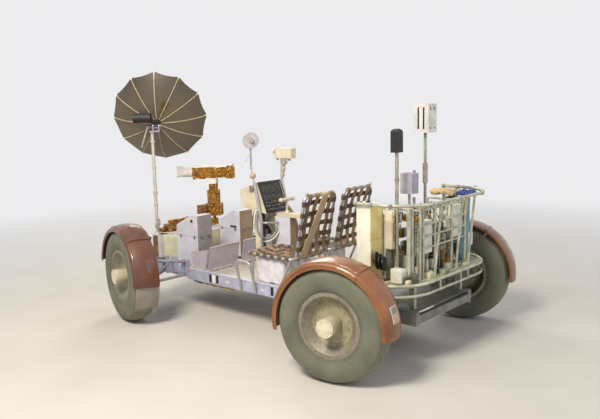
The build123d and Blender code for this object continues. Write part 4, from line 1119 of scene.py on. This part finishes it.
belt = {"width": 0.085, "length": 0.56, "columns": 8, "rows": 60, "foldSeed": 4, "y": 0.200, "slant": 0.19,
        "ruck": 0.005, "sway": 0.004, "thick": 0.0022, "clear": 0.003}
hangTop = Vector((seat["hingeX"], belt["y"], seat["hingeZ"])) + upWay * seat["backHigh"]
grip = webbing["tube"] + belt["clear"]
over = math.pi * grip
bm = bmesh.new()
grid = []
for row in range(belt["rows"] + 1):
    run = belt["length"] * row / belt["rows"]
    down = max(run - over, 0)
    if run < over:    # over the top tube, front to back
        a = math.pi * run / over
        middle = hangTop - backWay * grip * math.cos(a) + upWay * grip * math.sin(a)
    else:
        middle = hangTop + backWay * (grip + belt["sway"] * math.sin(down * 9)) - upWay * down
    middle += Vector((0, belt["slant"], 0)) * down / belt["length"]
    line = []
    for column in range(belt["columns"] + 1):
        across = (column / belt["columns"] - 0.5) * belt["width"]
        ruck = abs(belt["ruck"] * noise.noise(Vector((across * 40, run * 9, belt["foldSeed"]))))
        line.append(bm.verts.new(middle + Vector((0, across, 0)) + backWay * (ruck * min(down * 20, 1))))
    grid.append(line)
bridge(bm, grid, closed=False)
lapBelt = finishPiece(bm, "lap_belt", "left_back", "creamCloth", 80)
thick = lapBelt.modifiers.new("thick", "SOLIDIFY")
thick.thickness = belt["thick"]
thick.offset = 1.0
print("belt made")


# dish: rib tips, the feed's helix and its clamp screws

dishTrim = {"tip": 0.0085, "helixTurns": 7, "helixRadius": 0.022, "helixFrom": 0.16, "helixLong": 0.20,
            "screwRadius": 0.035, "screwFace": -0.0302}


def aroundDish(share):
    # the direction out from the dish's axis, by its share of a full turn
    return Vector((math.cos(2 * math.pi * share), math.sin(2 * math.pi * share), 0))


bm = bmesh.new()
for k in range(dish["ribs"]):
    way = aroundDish(k / dish["ribs"])
    rim = way * dish["radius"] + Vector((0, 0, dish["depth"] - 0.004))
    inside = way * (dish["radius"] - 0.018) + Vector((0, 0, dish["depth"] - 0.016))
    addTube(bm, dishTurn @ inside, dishTurn @ (rim + (rim - inside) * 0.25), dishTrim["tip"] * 0.7, 10, 1.25)
finishPiece(bm, "rib_tips", "dish", "labelWhite")
bm = bmesh.new()
reach = dishTrim["helixRadius"]
steps = dishTrim["helixTurns"] * 12
helix = [dishTurn @ (aroundDish(step / 12) * reach
                     + Vector((0, 0, dishTrim["helixFrom"] + dishTrim["helixLong"] * step / steps)))
         for step in range(steps + 1)]
addPipe(bm, helix, 0.0022, 6, 1)
for z in (0.16, 0.26, 0.36):
    addTube(bm, dishTurn @ Vector((-reach, 0, z)), dishTurn @ Vector((reach, 0, z)), 0.002, 6)
finishPiece(bm, "feed_helix", "dish", "gold")
bm = bmesh.new()
back = dishTurn.to_3x3() @ Vector((0, 0, -1))
hubFace = Vector((0, 0, dishTrim["screwFace"]))
for k in range(dish["ribs"]):
    spot = aroundDish((k + 0.5) / dish["ribs"]) * dishTrim["screwRadius"] + hubFace
    addDome(bm, dishTurn @ spot, back, 0.004, 0.003, 8)
finishPiece(bm, "dish_hub_screws", "dish", "bolt")

# the dish mast: its lead, bands and hoop handle

mast = {"x": 1.450, "y": 0.371, "foot": 0.6545, "leadSide": Vector((-0.0165, 0.008, 0)), "hoopZ": 0.735,
        "handle": ((-1.2, 0.735), (-1.3, 0.775), (-0.8, 0.800), (0.0, 0.806), (0.8, 0.800), (1.3, 0.775),
                   (1.2, 0.735))}


def onMast(z):
    return Vector((mast["x"], mast["y"], z))


def besideMast(way, z):
    # a place on the hoop, way along its slanting line
    return Vector((mast["x"] - 0.040 * way - 0.010, mast["y"] + 0.050 * way, z))


bm = bmesh.new()
wire = [onMast(z) + mast["leadSide"] for z in (1.60, 1.40, 1.20, 1.00, 0.85, 0.70)]
addPipe(bm, wire, 0.0045, 8, 3)
finishPiece(bm, "mast_lead", "chassis", "cableWhite")
bm = bmesh.new()
for z in (1.55, 1.30, 0.95, 0.76):
    addTube(bm, onMast(z - 0.008), onMast(z + 0.008), 0.0235, 20)
addTube(bm, onMast(mast["foot"]), onMast(0.690), 0.036, 24, 0.7)
finishPiece(bm, "mast_bands", "chassis", "mast")
bm = bmesh.new()
addPipe(bm, [besideMast(way, z) for way, z in mast["handle"]], 0.006, 10, 6)
addTube(bm, onMast(0.728), onMast(0.742), 0.026, 20)
for way in (-1.2, 1.2):
    addTube(bm, besideMast(way, mast["hoopZ"]), onMast(mast["hoopZ"]), 0.005, 10)
finishPiece(bm, "mast_hoop", "chassis", "mast")

# the hand controller's knobs and boot

handle = {"x": 0.085, "knobY": 0.076, "knobZ": 1.055, "knob": 0.020, "boot": (0.972, 0.988, 1.004)}
bm = bmesh.new()
for way in (-1, 1):
    spot = Matrix.Translation((handle["x"], way * handle["knobY"], handle["knobZ"]))
    bmesh.ops.create_uvsphere(bm, u_segments=20, v_segments=12, radius=handle["knob"], matrix=spot)
addTube(bm, (handle["x"], 0, 0.9355), (handle["x"], 0, 0.960), 0.022, 20, 0.6)
for z in handle["boot"]:
    addTube(bm, (handle["x"], 0, z), (handle["x"], 0, z + 0.008), 0.0125, 16)
finishPiece(bm, "handle_knobs", "chassis", "hubCap")

# the film camera's sleeved staff and its knobs

filmStaff = {"foot": Vector((0.300, -0.178, 1.222)), "head": Vector((0.258, -0.178, 1.392)),
             "rings": (0.10, 0.45, 0.80), "ringHalf": Vector((-0.002, 0, 0.011))}
# columns: x, y, z, radius
filmKnobs = [(0.366, -0.150, 1.470, 0.013), (0.372, -0.205, 1.452, 0.012), (0.352, -0.178, 1.412, 0.015)]
bm = bmesh.new()
addTube(bm, filmStaff["foot"], filmStaff["head"], 0.015, 20)
for share in filmStaff["rings"]:
    middle = filmStaff["foot"].lerp(filmStaff["head"], share)
    addTube(bm, middle - filmStaff["ringHalf"], middle + filmStaff["ringHalf"], 0.021, 20)
addBlock(bm, (0.205, -0.200, 1.372), (0.300, -0.156, 1.397), 0.004)
addTube(bm, (0.262, -0.150, 1.350), (0.262, -0.206, 1.350), 0.009, 14)
finishPiece(bm, "camera_staff_sleeve", "chassis", "mast")
bm = bmesh.new()
for x, y, z, radius in filmKnobs:
    addTube(bm, (x - 0.016, y, z), (x + 0.008, y, z), radius, 16, 0.8)
addBlock(bm, (0.340, -0.190, 1.372), (0.362, -0.166, 1.410), 0.003)
finishPiece(bm, "camera_knobs", "chassis", "labelWhite")
print("dish trim made")


# television camera: white hood and top blanket over the gold body

tvTrim = {"hoodStart": 0.215, "hoodEnd": 0.362, "narrow": 0.034, "wide": 0.058, "axis": 1.212, "wall": 0.0035,
          "droop": -0.004, "padGrain": 28, "boxGrain": 26, "boxPush": 0.008}


def onTv(x, y, z):
    return tvTurn @ Vector((x, y, z))


# a square cone, open in front: each row of corners once outside and once inside the wall
cut = 0.8    # share of the half width where the hood's corners are cut
hoodOutline = ((1, cut), (cut, 1), (-cut, 1), (-1, cut), (-1, -cut), (-cut, -1), (cut, -1), (1, -cut))
hoodRows = ((tvTrim["hoodStart"], tvTrim["narrow"], 0.0),
            (tvTrim["hoodStart"] + 0.03, tvTrim["narrow"] + 0.003, 0.0),
            (tvTrim["hoodEnd"], tvTrim["wide"], tvTrim["droop"]))
bm = bmesh.new()
rings = []
for x, half, shift in hoodRows:
    for size in (half, half - tvTrim["wall"]):
        rings.append([bm.verts.new(onTv(x, y * size, tvTrim["axis"] + shift + z * size))
                      for y, z in hoodOutline])
for first, second in ((0, 2), (2, 4), (4, 5), (5, 3), (3, 1)):
    bridge(bm, (rings[first], rings[second]))
finishPiece(bm, "camera_sunshade", "camera_tilt", "whiteBlanket", 30)

# pads of foil and blanket that hug the camera's body
# columns: piece, low corner, high corner, finish, cuts, push, seed
tvPads = [("camera_top_blanket", (-0.150, -0.050, 1.2440), (0.205, 0.050, 1.2600), "whiteBlanket",
           14, 0.006, 1),
          ("camera_neck_blanket", (-0.040, -0.050, 1.0800), (0.060, 0.070, 1.1380), "whiteBlanket",
           10, 0.008, 6),
          ("camera_front_foil", (0.080, -0.058, 1.1300), (0.204, 0.058, 1.2350), "gold", 12, 0.009, 2),
          ("camera_rear_foil", (-0.222, -0.060, 1.1320), (-0.140, 0.060, 1.2480), "gold", 12, 0.010, 3),
          ("camera_middle_foil", (-0.138, -0.056, 1.1640), (0.078, 0.056, 1.2300), "gold", 14, 0.005, 4)]
for name, low, high, finish, cuts, push, seed in tvPads:
    bm = bmesh.new()
    griddedBox(bm, low, high, cuts)
    for vert in bm.verts:
        place = vert.co * tvTrim["padGrain"] + Vector((seed, seed * 2, 0))
        vert.co += Vector((noise.noise(place), noise.noise(place + Vector((7, 0, 0))),
                           noise.noise(place + Vector((0, 9, 0))))) * push
    bmesh.ops.transform(bm, matrix=tvTurn, verts=bm.verts[:])
    finishPiece(bm, name, "camera_tilt", finish, 32)
bm = bmesh.new()
addTube(bm, onTv(0.316, 0, 1.195), onTv(0.3205, 0, 1.195), 0.040, 32)
finishPiece(bm, "camera_lens", "camera_tilt", "lens")
bm = bmesh.new()
for y in (-0.03, 0.03):
    addTube(bm, onTv(-0.205, y, 1.262), onTv(-0.205, y, 1.276), 0.008, 12)
addBlock(bm, (-0.215, -0.035, 1.258), (-0.150, 0.035, 1.268), 0.002, tvTurn)
finishPiece(bm, "camera_handle", "camera_tilt", "bolt")

# foil round the box on the camera's mast
bm = bmesh.new()
griddedBox(bm, (-0.080, -0.080, 0.752), (0.080, 0.080, 0.868), 12)
for vert in bm.verts:
    place = vert.co * tvTrim["boxGrain"] + Vector((4.0, 0, 0))
    vert.co += Vector((noise.noise(place), noise.noise(place * 1.3 + Vector((5, 0, 0))),
                       0.4 * noise.noise(place * 1.7))) * tvTrim["boxPush"]
bmesh.ops.transform(bm, matrix=tvTurn, verts=bm.verts[:])
finishPiece(bm, "mast_box_foil", "chassis", "gold", 30)
print("camera trim made")


# rack load: sticks, light cases and dark round plates on the rack

rackFloor = 0.628
# columns: foot x, y, z, then top x, y, z, radius, finish
rackSticks = [(-1.440, 0.432, 0.634, -1.440, 0.432, 1.150, 0.015, "rack"),
              (-1.440, 0.395, 0.634, -1.440, 0.395, 1.140, 0.013, "rack"),
              (-1.400, 0.200, rackFloor, -1.400, 0.200, 0.792, 0.016, "rackDark"),
              (-1.392, 0.300, rackFloor, -1.385, 0.300, 1.100, 0.011, "rack"),
              (-1.410, -0.060, rackFloor, -1.420, -0.060, 0.985, 0.014, "rackDark"),
              (-1.380, -0.100, rackFloor, -1.380, -0.110, 1.130, 0.010, "caseWhite"),
              (-1.300, 0.120, rackFloor, -1.290, 0.120, 1.060, 0.016, "rackDark"),
              (-1.270, -0.150, rackFloor, -1.270, -0.150, 1.020, 0.020, "rack"),
              (-1.330, -0.250, rackFloor, -1.330, -0.235, 1.180, 0.011, "bolt"),
              (-1.260, 0.060, rackFloor, -1.250, 0.065, 1.165, 0.010, "rack")]
for finish in ("rack", "rackDark", "caseWhite", "bolt"):
    bm = bmesh.new()
    for x0, y0, z0, x1, y1, z1, radius, tone in rackSticks:
        if tone == finish:
            addTube(bm, (x0, y0, z0), (x1, y1, z1), radius, 16)
            addTube(bm, (x1, y1, z1 - 0.002), (x1, y1, z1 + 0.012), radius * 1.25, 16, 0.8)
            addTube(bm, (x0, y0, z0), (x0, y0, z0 + 0.016), radius * 1.35, 16)
    finishPiece(bm, f"rack_sticks_{finish}", "chassis", finish)

# columns: low corner, high corner, finish
rackCases = [((-1.437, 0.452, 0.634), (-1.345, 0.520, 0.735), "caseWhite"),
             ((-1.420, 0.320, 0.634), (-1.340, 0.375, 0.700), "caseWhite"),
             ((-1.360, 0.180, 0.634), (-1.240, 0.290, 0.780), "rack"),
             ((-1.420, -0.240, 0.634), (-1.300, -0.130, 0.740), "rackDark"),
             ((-1.300, -0.080, 0.634), (-1.240, 0.020, 0.850), "caseWhite")]
# how far the lid's band stands out, and its place below the top
lid = {"lip": 0.002, "low": 0.022, "high": 0.018}
for finish in ("caseWhite", "rack", "rackDark"):
    bm = bmesh.new()
    for low, high, tone in rackCases:
        if tone == finish:
            addBlock(bm, low, high, 0.006)
            addBlock(bm, (low[0] - lid["lip"], low[1] - lid["lip"], high[2] - lid["low"]),
                     (high[0] + lid["lip"], high[1] + lid["lip"], high[2] - lid["high"]), 0.001)
    finishPiece(bm, f"rack_cases_{finish}", "chassis", finish)

# columns: middle x, y, z, radius
roundPlates = [(-1.262, 0.560, 0.790, 0.062), (-1.275, 0.535, 0.775, 0.058), (-1.290, 0.515, 0.762, 0.052)]
discThick = 0.006
bm = bmesh.new()
for x, y, z, radius in roundPlates:
    addTube(bm, (x, y, z), (x - discThick, y - 0.002, z + 0.001), radius, 32)
addTube(bm, (-1.300, 0.515, 0.762), (-1.228, 0.560, 0.790), 0.010, 12)
finishPiece(bm, "round_plates", "chassis", "black")


def finishLoad(meshes, name):
    # one piece for each finish of a load; the gold tape's finish is the foil's
    for key, bm in meshes.items():
        finishPiece(bm, f"{name}_{key}", "chassis", "gold" if key == "goldTape" else key)


# small tools clipped behind the tool frame, drawn from a seeded list of kinds
tools = {"seed": 21, "fromY": -0.315, "toY": 0.300, "step": 0.0195, "nearX": -1.436, "farX": -1.385,
         "kinds": ("rod", "rod", "box", "box", "cone", "ring", "none"),
         "tones": ("rack", "caseWhite", "caseWhite", "rackDark", "rackDark", "black", "bolt", "cream",
                   "goldTape"),
         "shelves": ((0.650, 0.840), (0.850, 0.925), (0.935, 1.010), (1.020, 1.125))}
random.seed(tools["seed"])
toolMesh = {key: bmesh.new() for key in dict.fromkeys(tools["tones"])}
y = tools["fromY"]
while y < tools["toY"]:
    busy = abs(y - 0.193) < 0.07 or abs(y + 0.225) < 0.08    # where the tool cases stand
    for foot, head in tools["shelves"]:
        kind = random.choice(tools["kinds"])
        tone = random.choice(tools["tones"])
        x = random.uniform(tools["nearX"], tools["farX"])
        size = random.uniform(0.004, 0.011)
        start = foot + random.uniform(0.0, 0.03)
        end = head - random.uniform(0.0, 0.03)
        if kind == "none" or (busy and foot > 0.8):
            continue
        bm = toolMesh[tone]
        if kind == "rod":
            addTube(bm, (x, y, start), (x, y + random.uniform(-0.01, 0.01), end), size, 10)
            addTube(bm, (x, y, end - 0.004), (x, y, end + 0.010), size * 1.5, 10, 0.7)
        elif kind == "box":
            half = size * random.uniform(1.0, 1.8)
            top = start + (end - start) * random.uniform(0.3, 0.9)
            addBlock(bm, (x - half, y - half, start), (x + half, y + half, top), 0.002)
        elif kind == "cone":
            addTube(bm, (x, y, start), (x, y, start + 0.05), size * 1.9, 12, 0.4)
        else:
            radius = size * 1.9
            addRing(bm, Matrix.Translation((x, y, end - radius)) @ edgeOn, radius, 0.0025, 10, 6)
    y += tools["step"]
finishLoad(toolMesh, "clipped_tools")

# a second row further in, between the locker and the poles
innerTools = {"fromY": -0.300, "toY": 0.425, "step": 0.0165, "nearX": -1.272, "farX": -1.238,
              "kinds": ("rod", "box", "box", "cone", "none"),
              "tones": ("rack", "caseWhite", "caseWhite", "rackDark", "rackDark", "black", "cream", "cream",
                        "goldTape", "cableWhite"),
              "shelves": ((0.640, 0.760), (0.775, 0.880), (0.895, 1.000), (1.015, 1.125))}
random.seed(tools["seed"] + 2)
innerMesh = {key: bmesh.new() for key in dict.fromkeys(innerTools["tones"])}
y = innerTools["fromY"]
while y < innerTools["toY"]:
    for foot, head in innerTools["shelves"]:
        tone = random.choice(innerTools["tones"])
        kind = random.choice(innerTools["kinds"])
        x = random.uniform(innerTools["nearX"], innerTools["farX"])
        size = random.uniform(0.005, 0.011)
        start = foot + random.uniform(0.0, 0.03)
        end = head - random.uniform(0.0, 0.04)
        if kind == "none":
            continue
        bm = innerMesh[tone]
        if kind == "rod":
            top = (x + random.uniform(-0.008, 0.008), y + random.uniform(-0.02, 0.02), end)
            addTube(bm, (x, y, start), top, size * 0.8, 10)
            addTube(bm, (x, y, start), (x, y, start + 0.012), size * 1.6, 10)
        elif kind == "box":
            half = size * random.uniform(1.2, 2.0)
            top = start + (end - start) * random.uniform(0.4, 1.0)
            addBlock(bm, (x - half, y - half, start), (x + half, y + half, top), 0.0025)
        else:
            addTube(bm, (x, y, start), (x, y, start + 0.06), size * 1.8, 12, 0.35)
    y += innerTools["step"]
finishLoad(innerMesh, "inner_tools")
bm = bmesh.new()
addBlock(bm, (-1.300, 0.384, 0.845), (-1.238, 0.434, 1.120), 0.012, steps=3)
finishPiece(bm, "locker_side_case", "chassis", "cream")
bm = bmesh.new()
addBlock(bm, (-1.3015, 0.400, 0.900), (-1.2995, 0.412, 1.085), 0.0005)
finishPiece(bm, "side_case_tape", "chassis", "gold")

# upright tubes between the locker and the left poles
# columns: x, y, foot z, top z, radius, finish
uprights = [(-1.205, 0.412, 0.640, 1.090, 0.016, "rack"), (-1.225, 0.372, 0.640, 1.125, 0.019, "cream"),
            (-1.212, 0.330, 0.640, 1.010, 0.014, "rackDark"),
            (-1.252, 0.398, 0.640, 0.830, 0.022, "rackDark"),
            (-1.240, 0.318, 0.640, 1.100, 0.012, "caseWhite"), (-1.266, 0.340, 0.640, 0.930, 0.018, "rack")]
uprightMesh = {key: bmesh.new() for key in ("rack", "cream", "rackDark", "caseWhite")}
for x, y, foot, top, radius, key in uprights:
    addTube(uprightMesh[key], (x, y, foot), (x, y, top), radius, 20)
    addTube(uprightMesh[key], (x, y, top), (x, y, top + 0.014), radius * 0.7, 20, 0.5)
    for z in (foot + 0.06, top - 0.05):
        addTube(uprightMesh[key], (x, y, z - 0.006), (x, y, z + 0.006), radius + 0.003, 20)
finishLoad(uprightMesh, "upright_tubes")

# loose cases and tubes lying on the deck, clear of the canister
loose = {"count": 60, "deck": 0.6262, "canisterX": -1.399, "canisterY": 0.04, "clear": 0.075,
         "tones": ("rack", "caseWhite", "rackDark", "cream")}
random.seed(tools["seed"] + 1)
deckMesh = {key: bmesh.new() for key in loose["tones"]}
for k in range(loose["count"]):
    tone = random.choice(loose["tones"])
    x = random.uniform(-1.50, -1.25)
    y = random.uniform(-0.40, 0.50)
    if abs(x - loose["canisterX"]) < loose["clear"] and abs(y - loose["canisterY"]) < loose["clear"]:
        continue
    half = random.uniform(0.008, 0.024)
    rise = random.uniform(0.015, 0.07)
    deck = loose["deck"]
    if k % 3:
        addBlock(deckMesh[tone], (x - half, y - half * 1.5, deck),
                 (x + half, y + half * 1.5, deck + rise), 0.003)
    else:
        middle = deck + half * 0.5
        addTube(deckMesh[tone], (x, y, middle), (x + 0.02, y + 0.12, middle), half * 0.5, 12)
finishLoad(deckMesh, "deck_tools")

# clamps on the rack's top rail
rail = {"z": 1.185, "sideY": 0.600, "rearX": -1.585, "half": 0.009, "clamp": 0.0165}
bm = bmesh.new()
for side in (1, -1):
    for x in (-1.12, -1.25, -1.40):
        addTube(bm, (x - rail["half"], side * rail["sideY"], rail["z"]),
                (x + rail["half"], side * rail["sideY"], rail["z"]), rail["clamp"], 18)
for y in (-0.35, 0.0, 0.35):
    addTube(bm, (rail["rearX"], y - rail["half"], rail["z"]),
            (rail["rearX"], y + rail["half"], rail["z"]), rail["clamp"], 18)
finishPiece(bm, "rack_clamps", "chassis", "bolt")

# the locker's hinges, the canister's bands, and painted shade standing in for the slots in the pole's head
bm = bmesh.new()
for z in (0.70, 0.93):
    for x in (-1.222, -1.107):
        addBlock(bm, (x - 0.003, 0.438, z), (x + 0.003, 0.586, z + 0.004), 0.001)
finishPiece(bm, "locker_hinges", "chassis", "bolt")


def onCanister(z):
    return Vector((loose["canisterX"], loose["canisterY"], z))


bm = bmesh.new()
addTube(bm, onCanister(0.8955), onCanister(0.906), 0.032, 28)
for z in (0.66, 0.76, 0.86):
    addTube(bm, onCanister(z - 0.004), onCanister(z + 0.004), 0.0472, 32)
finishPiece(bm, "canister_bands", "chassis", "drive")
# painted shade: thin dark plates for the slots in the pole's head
bm = bmesh.new()
for x in (-1.352, -1.308):
    addBlock(bm, (x - 0.007, 0.0985, 1.680), (x + 0.007, 0.1005, 1.835), 0.0005)
for y in (0.012, 0.068):
    for low, high in ((1.815, 1.835), (1.680, 1.692)):
        addBlock(bm, (-1.3905, y - 0.006, low), (-1.3890, y + 0.006, high), 0.0005)
finishPiece(bm, "pole_head_slot_shade", "chassis", "slotShade")
print("rack load made")


# bundles of cloth tucked behind the top rail

bundle = {"fill": 0.5, "voxel": 0.008, "pressure": 1.0, "slack": 0.3, "cap": 0.010, "crumple": 0.055}
# columns: name, low corner, high corner, finish, seed
bundles = [("blue_bundle", (-1.460, -0.570, 1.130), (-1.325, -0.375, 1.200), "blueCloth", 9.0),
           ("cream_bundle", (-1.350, -0.570, 1.122), (-1.120, -0.330, 1.208), "creamCloth", 10.0)]
for name, low, high, finish, seed in bundles:
    puffBag(name, low, high, finish, [], seed=seed, **bundle)
print("bundles made")


# cords: each is a curve with the length of its own path

def cordAlong(name, points, radius, finish):
    curve = bpy.data.curves.new(name, "CURVE")
    curve.dimensions = "3D"
    spline = curve.splines.new("NURBS")
    line = smoothLine([mm(*point) for point in points], 5)
    spline.points.add(len(line) - 1)
    for knot, point in zip(spline.points, line):
        knot.co = (*point, 1.0)
    spline.order_u = 3
    spline.use_endpoint_u = True
    curve.bevel_depth = radius
    curve.bevel_resolution = 3
    cord = bpy.data.objects.new(name, curve)
    scene.collection.objects.link(cord)
    curve.materials.append(finishes[finish])
    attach(cord, "chassis")


consoleRun = [(300, 150, 950), (294, 168, 900), (286, 176, 820), (270, 168, 752), (240, 140, 716),
              (205, 100, 716), (180, 66, 750), (168, 40, 796)]
seatRun = [(318, 152, 960), (316, 176, 900), (310, 190, 812), (290, 186, 738), (255, 160, 694),
           (215, 120, 686), (180, 84, 710), (158, 56, 748), (150, 38, 778)]
boxRun = [(1182, 210, 700), (1200, 214, 760), (1240, 230, 742), (1290, 262, 690), (1340, 300, 676),
          (1400, 330, 672), (1436, 352, 676)]
staffRun = [(335, 178, 1465), (352, 182, 1440), (398, 184, 1398), (372, 182, 1345), (318, 180, 1316),
            (300, 180, 1270)]
cordAlong("console_harness", consoleRun, 0.011, "cableGrey")
cordAlong("seat_harness", seatRun, 0.008, "cableWhite")
cordAlong("box_lead", boxRun, 0.004, "cableWhite")
cordAlong("staff_lead", staffRun, 0.004, "cableWhite")
print("cords made")


# floor, light and camera

studio = {"floor": (214, 210, 202), "floorPatches": (206, 202, 193), "backdrop": (236, 236, 238),
          "sky": (236, 238, 244), "skyPower": 0.44, "fadeFrom": 2.6, "fadeTo": 8.0, "lens": 42.98,
          "eye": (-4.094, 4.566, 1.903), "right": (-0.752, -0.659, -0.023), "up": (0.082, -0.128, 0.988),
          "aim": (0.0, 0.0, 0.7)}
# columns: name, place, power, size, tint
lamps = [("key_lamp", (-1.4, 5.0, 5.8), 500, 1.8, (255, 246, 232)),
         ("fill_lamp", (-6.5, -1.5, 3.6), 80, 4.0, (236, 240, 255)),
         ("rim_lamp", (4.5, -3.5, 5.0), 170, 3.0, (255, 250, 240))]
bpy.ops.mesh.primitive_plane_add(size=60, location=(0, 0, 0))
ground = bpy.context.object
ground.name = "studio_floor"
groundFinish, tree, shader = startFinish("studioFloor", 0.9)
cloudy = noiseOf(tree, 1.4, 4, low=0.3, high=0.7)
color = mixOf(tree, cloudy, paint(*studio["floor"]), paint(*studio["floorPatches"]))
tree.links.new(color, shader.inputs["Base Color"])
tree.links.new(bumpOf(tree, noiseOf(tree, 60, 4), 0.15, 0.003), shader.inputs["Normal"])
far = addNode(tree, "ShaderNodeVectorMath", {0: placeOf(tree)}, operation="LENGTH").outputs["Value"]
haze = addNode(tree, "ShaderNodeEmission", {"Color": paint(*studio["backdrop"]), "Strength": 1.0})
fadeOut = rangeOf(tree, far, studio["fadeFrom"], studio["fadeTo"])
fade = addNode(tree, "ShaderNodeMixShader", {"Fac": fadeOut})
tree.links.new(shader.outputs["BSDF"], fade.inputs[1])
tree.links.new(haze.outputs["Emission"], fade.inputs[2])
tree.links.new(fade.outputs["Shader"], tree.nodes["Material Output"].inputs["Surface"])
ground.data.materials.append(groundFinish)

world = bpy.data.worlds.new("studioSky")
scene.world = world
world.use_nodes = True
tree = world.node_tree
background = tree.nodes["Background"]
seen = addNode(tree, "ShaderNodeLightPath")
direct = mathOf(tree, "MAXIMUM", seen.outputs["Is Camera Ray"], seen.outputs["Is Glossy Ray"])
direct = mathOf(tree, "MAXIMUM", direct, seen.outputs["Is Transmission Ray"])
skyColor = mixOf(tree, direct, paint(*studio["sky"]), paint(*studio["backdrop"]))
tree.links.new(skyColor, background.inputs["Color"])
tree.links.new(rangeOf(tree, direct, 0, 1, studio["skyPower"], 1.0), background.inputs["Strength"])

for name, place, power, size, tint in lamps:
    lamp = bpy.data.lights.new(name, "AREA")
    lamp.energy = power
    lamp.size = size
    lamp.color = paint(*tint)[:3]
    light = bpy.data.objects.new(name, lamp)
    light.location = place
    light.rotation_euler = (Vector(studio["aim"]) - Vector(place)).to_track_quat("-Z", "Y").to_euler()
    scene.collection.objects.link(light)

eye = bpy.data.cameras.new("photo_camera")
eye.lens = studio["lens"]
eye.sensor_width = 36
camera = bpy.data.objects.new("photo_camera", eye)
right = Vector(studio["right"]).normalized()
upEye = Vector(studio["up"])
upEye = (upEye - right * upEye.dot(right)).normalized()
eyeTurn = Matrix((right, upEye, right.cross(upEye))).transposed().to_4x4()
camera.matrix_world = Matrix.Translation(studio["eye"]) @ eyeTurn
scene.collection.objects.link(camera)
scene.camera = camera
scene.view_settings.view_transform = "Standard"
print("studio set")
